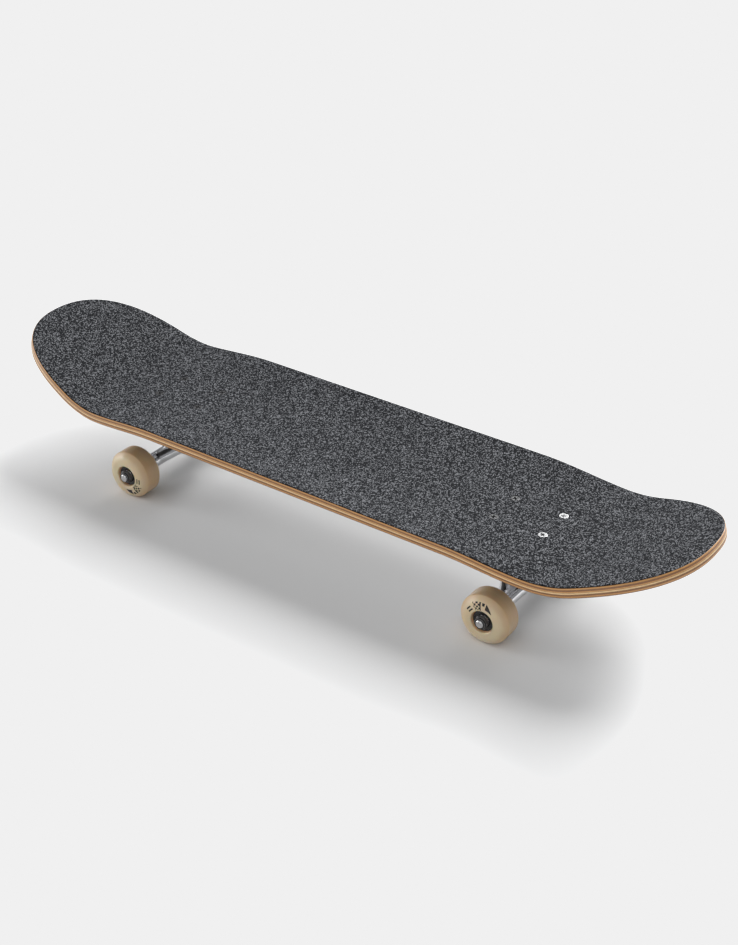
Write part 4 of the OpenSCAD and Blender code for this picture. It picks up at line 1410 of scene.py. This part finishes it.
class SKATE_OT_bolts(bpy.types.Operator):
    """Fits the mounting bolts, their lock nuts and inserts"""
    bl_idname = "skateboard.bolts"
    bl_label = "Mounting bolts"

    def execute(self, context):
        build_bolts()
        return {"FINISHED"}


class SKATE_OT_castings(bpy.types.Operator):
    """Casts the baseplates and hangers of both trucks"""
    bl_idname = "skateboard.castings"
    bl_label = "Truck castings"

    def execute(self, context):
        build_castings()
        return {"FINISHED"}


class SKATE_OT_kingpins(bpy.types.Operator):
    """Fits the kingpins, nuts, washers, bushings and pivot cups"""
    bl_idname = "skateboard.kingpins"
    bl_label = "Kingpins and bushings"

    def execute(self, context):
        build_kingpin_stack()
        return {"FINISHED"}


class SKATE_OT_axles(bpy.types.Operator):
    """Fits the threaded axles, their washers, nuts and inserts"""
    bl_idname = "skateboard.axles"
    bl_label = "Axles"

    def execute(self, context):
        build_axles()
        build_axle_hardware()
        return {"FINISHED"}


class SKATE_OT_wheels(bpy.types.Operator):
    """Casts the four wheels"""
    bl_idname = "skateboard.wheels"
    bl_label = "Wheels"

    def execute(self, context):
        build_wheels()
        return {"FINISHED"}


class SKATE_OT_bearings(bpy.types.Operator):
    """Presses the bearings into the wheels"""
    bl_idname = "skateboard.bearings"
    bl_label = "Bearings"

    def execute(self, context):
        build_bearings()
        return {"FINISHED"}


class SKATE_OT_stage(bpy.types.Operator):
    """Sets up the floor, lights and camera"""
    bl_idname = "skateboard.stage"
    bl_label = "Stage"

    def execute(self, context):
        build_stage()
        return {"FINISHED"}


OPERATORS = [
    SKATE_OT_finishes, SKATE_OT_deck, SKATE_OT_grip, SKATE_OT_bolts, SKATE_OT_castings,
    SKATE_OT_kingpins, SKATE_OT_axles, SKATE_OT_wheels, SKATE_OT_bearings, SKATE_OT_stage,
]


class VIEW3D_PT_skateboard(bpy.types.Panel):
    """Lists the steps that build the board"""
    bl_label = "Skateboard"
    bl_space_type = "VIEW_3D"
    bl_region_type = "UI"
    bl_category = "Skateboard"

    def draw(self, context):
        for operator in OPERATORS:
            self.layout.operator(operator.bl_idname)


def register():
    for name, kind in GROUPS.items():
        bpy.utils.register_class(kind)
        setattr(bpy.types.Scene, "skateboard_" + name, PointerProperty(type=kind))
    for kind in [*OPERATORS, VIEW3D_PT_skateboard]:
        bpy.utils.register_class(kind)


def unregister():
    for kind in [VIEW3D_PT_skateboard, *reversed(OPERATORS)]:
        bpy.utils.unregister_class(kind)
    for name, kind in GROUPS.items():
        delattr(bpy.types.Scene, "skateboard_" + name)
        bpy.utils.unregister_class(kind)


def main():
    register()
    for operator in OPERATORS:
        getattr(bpy.ops.skateboard, operator.bl_idname.split(".")[1])()


if __name__ == "__main__":
    main()
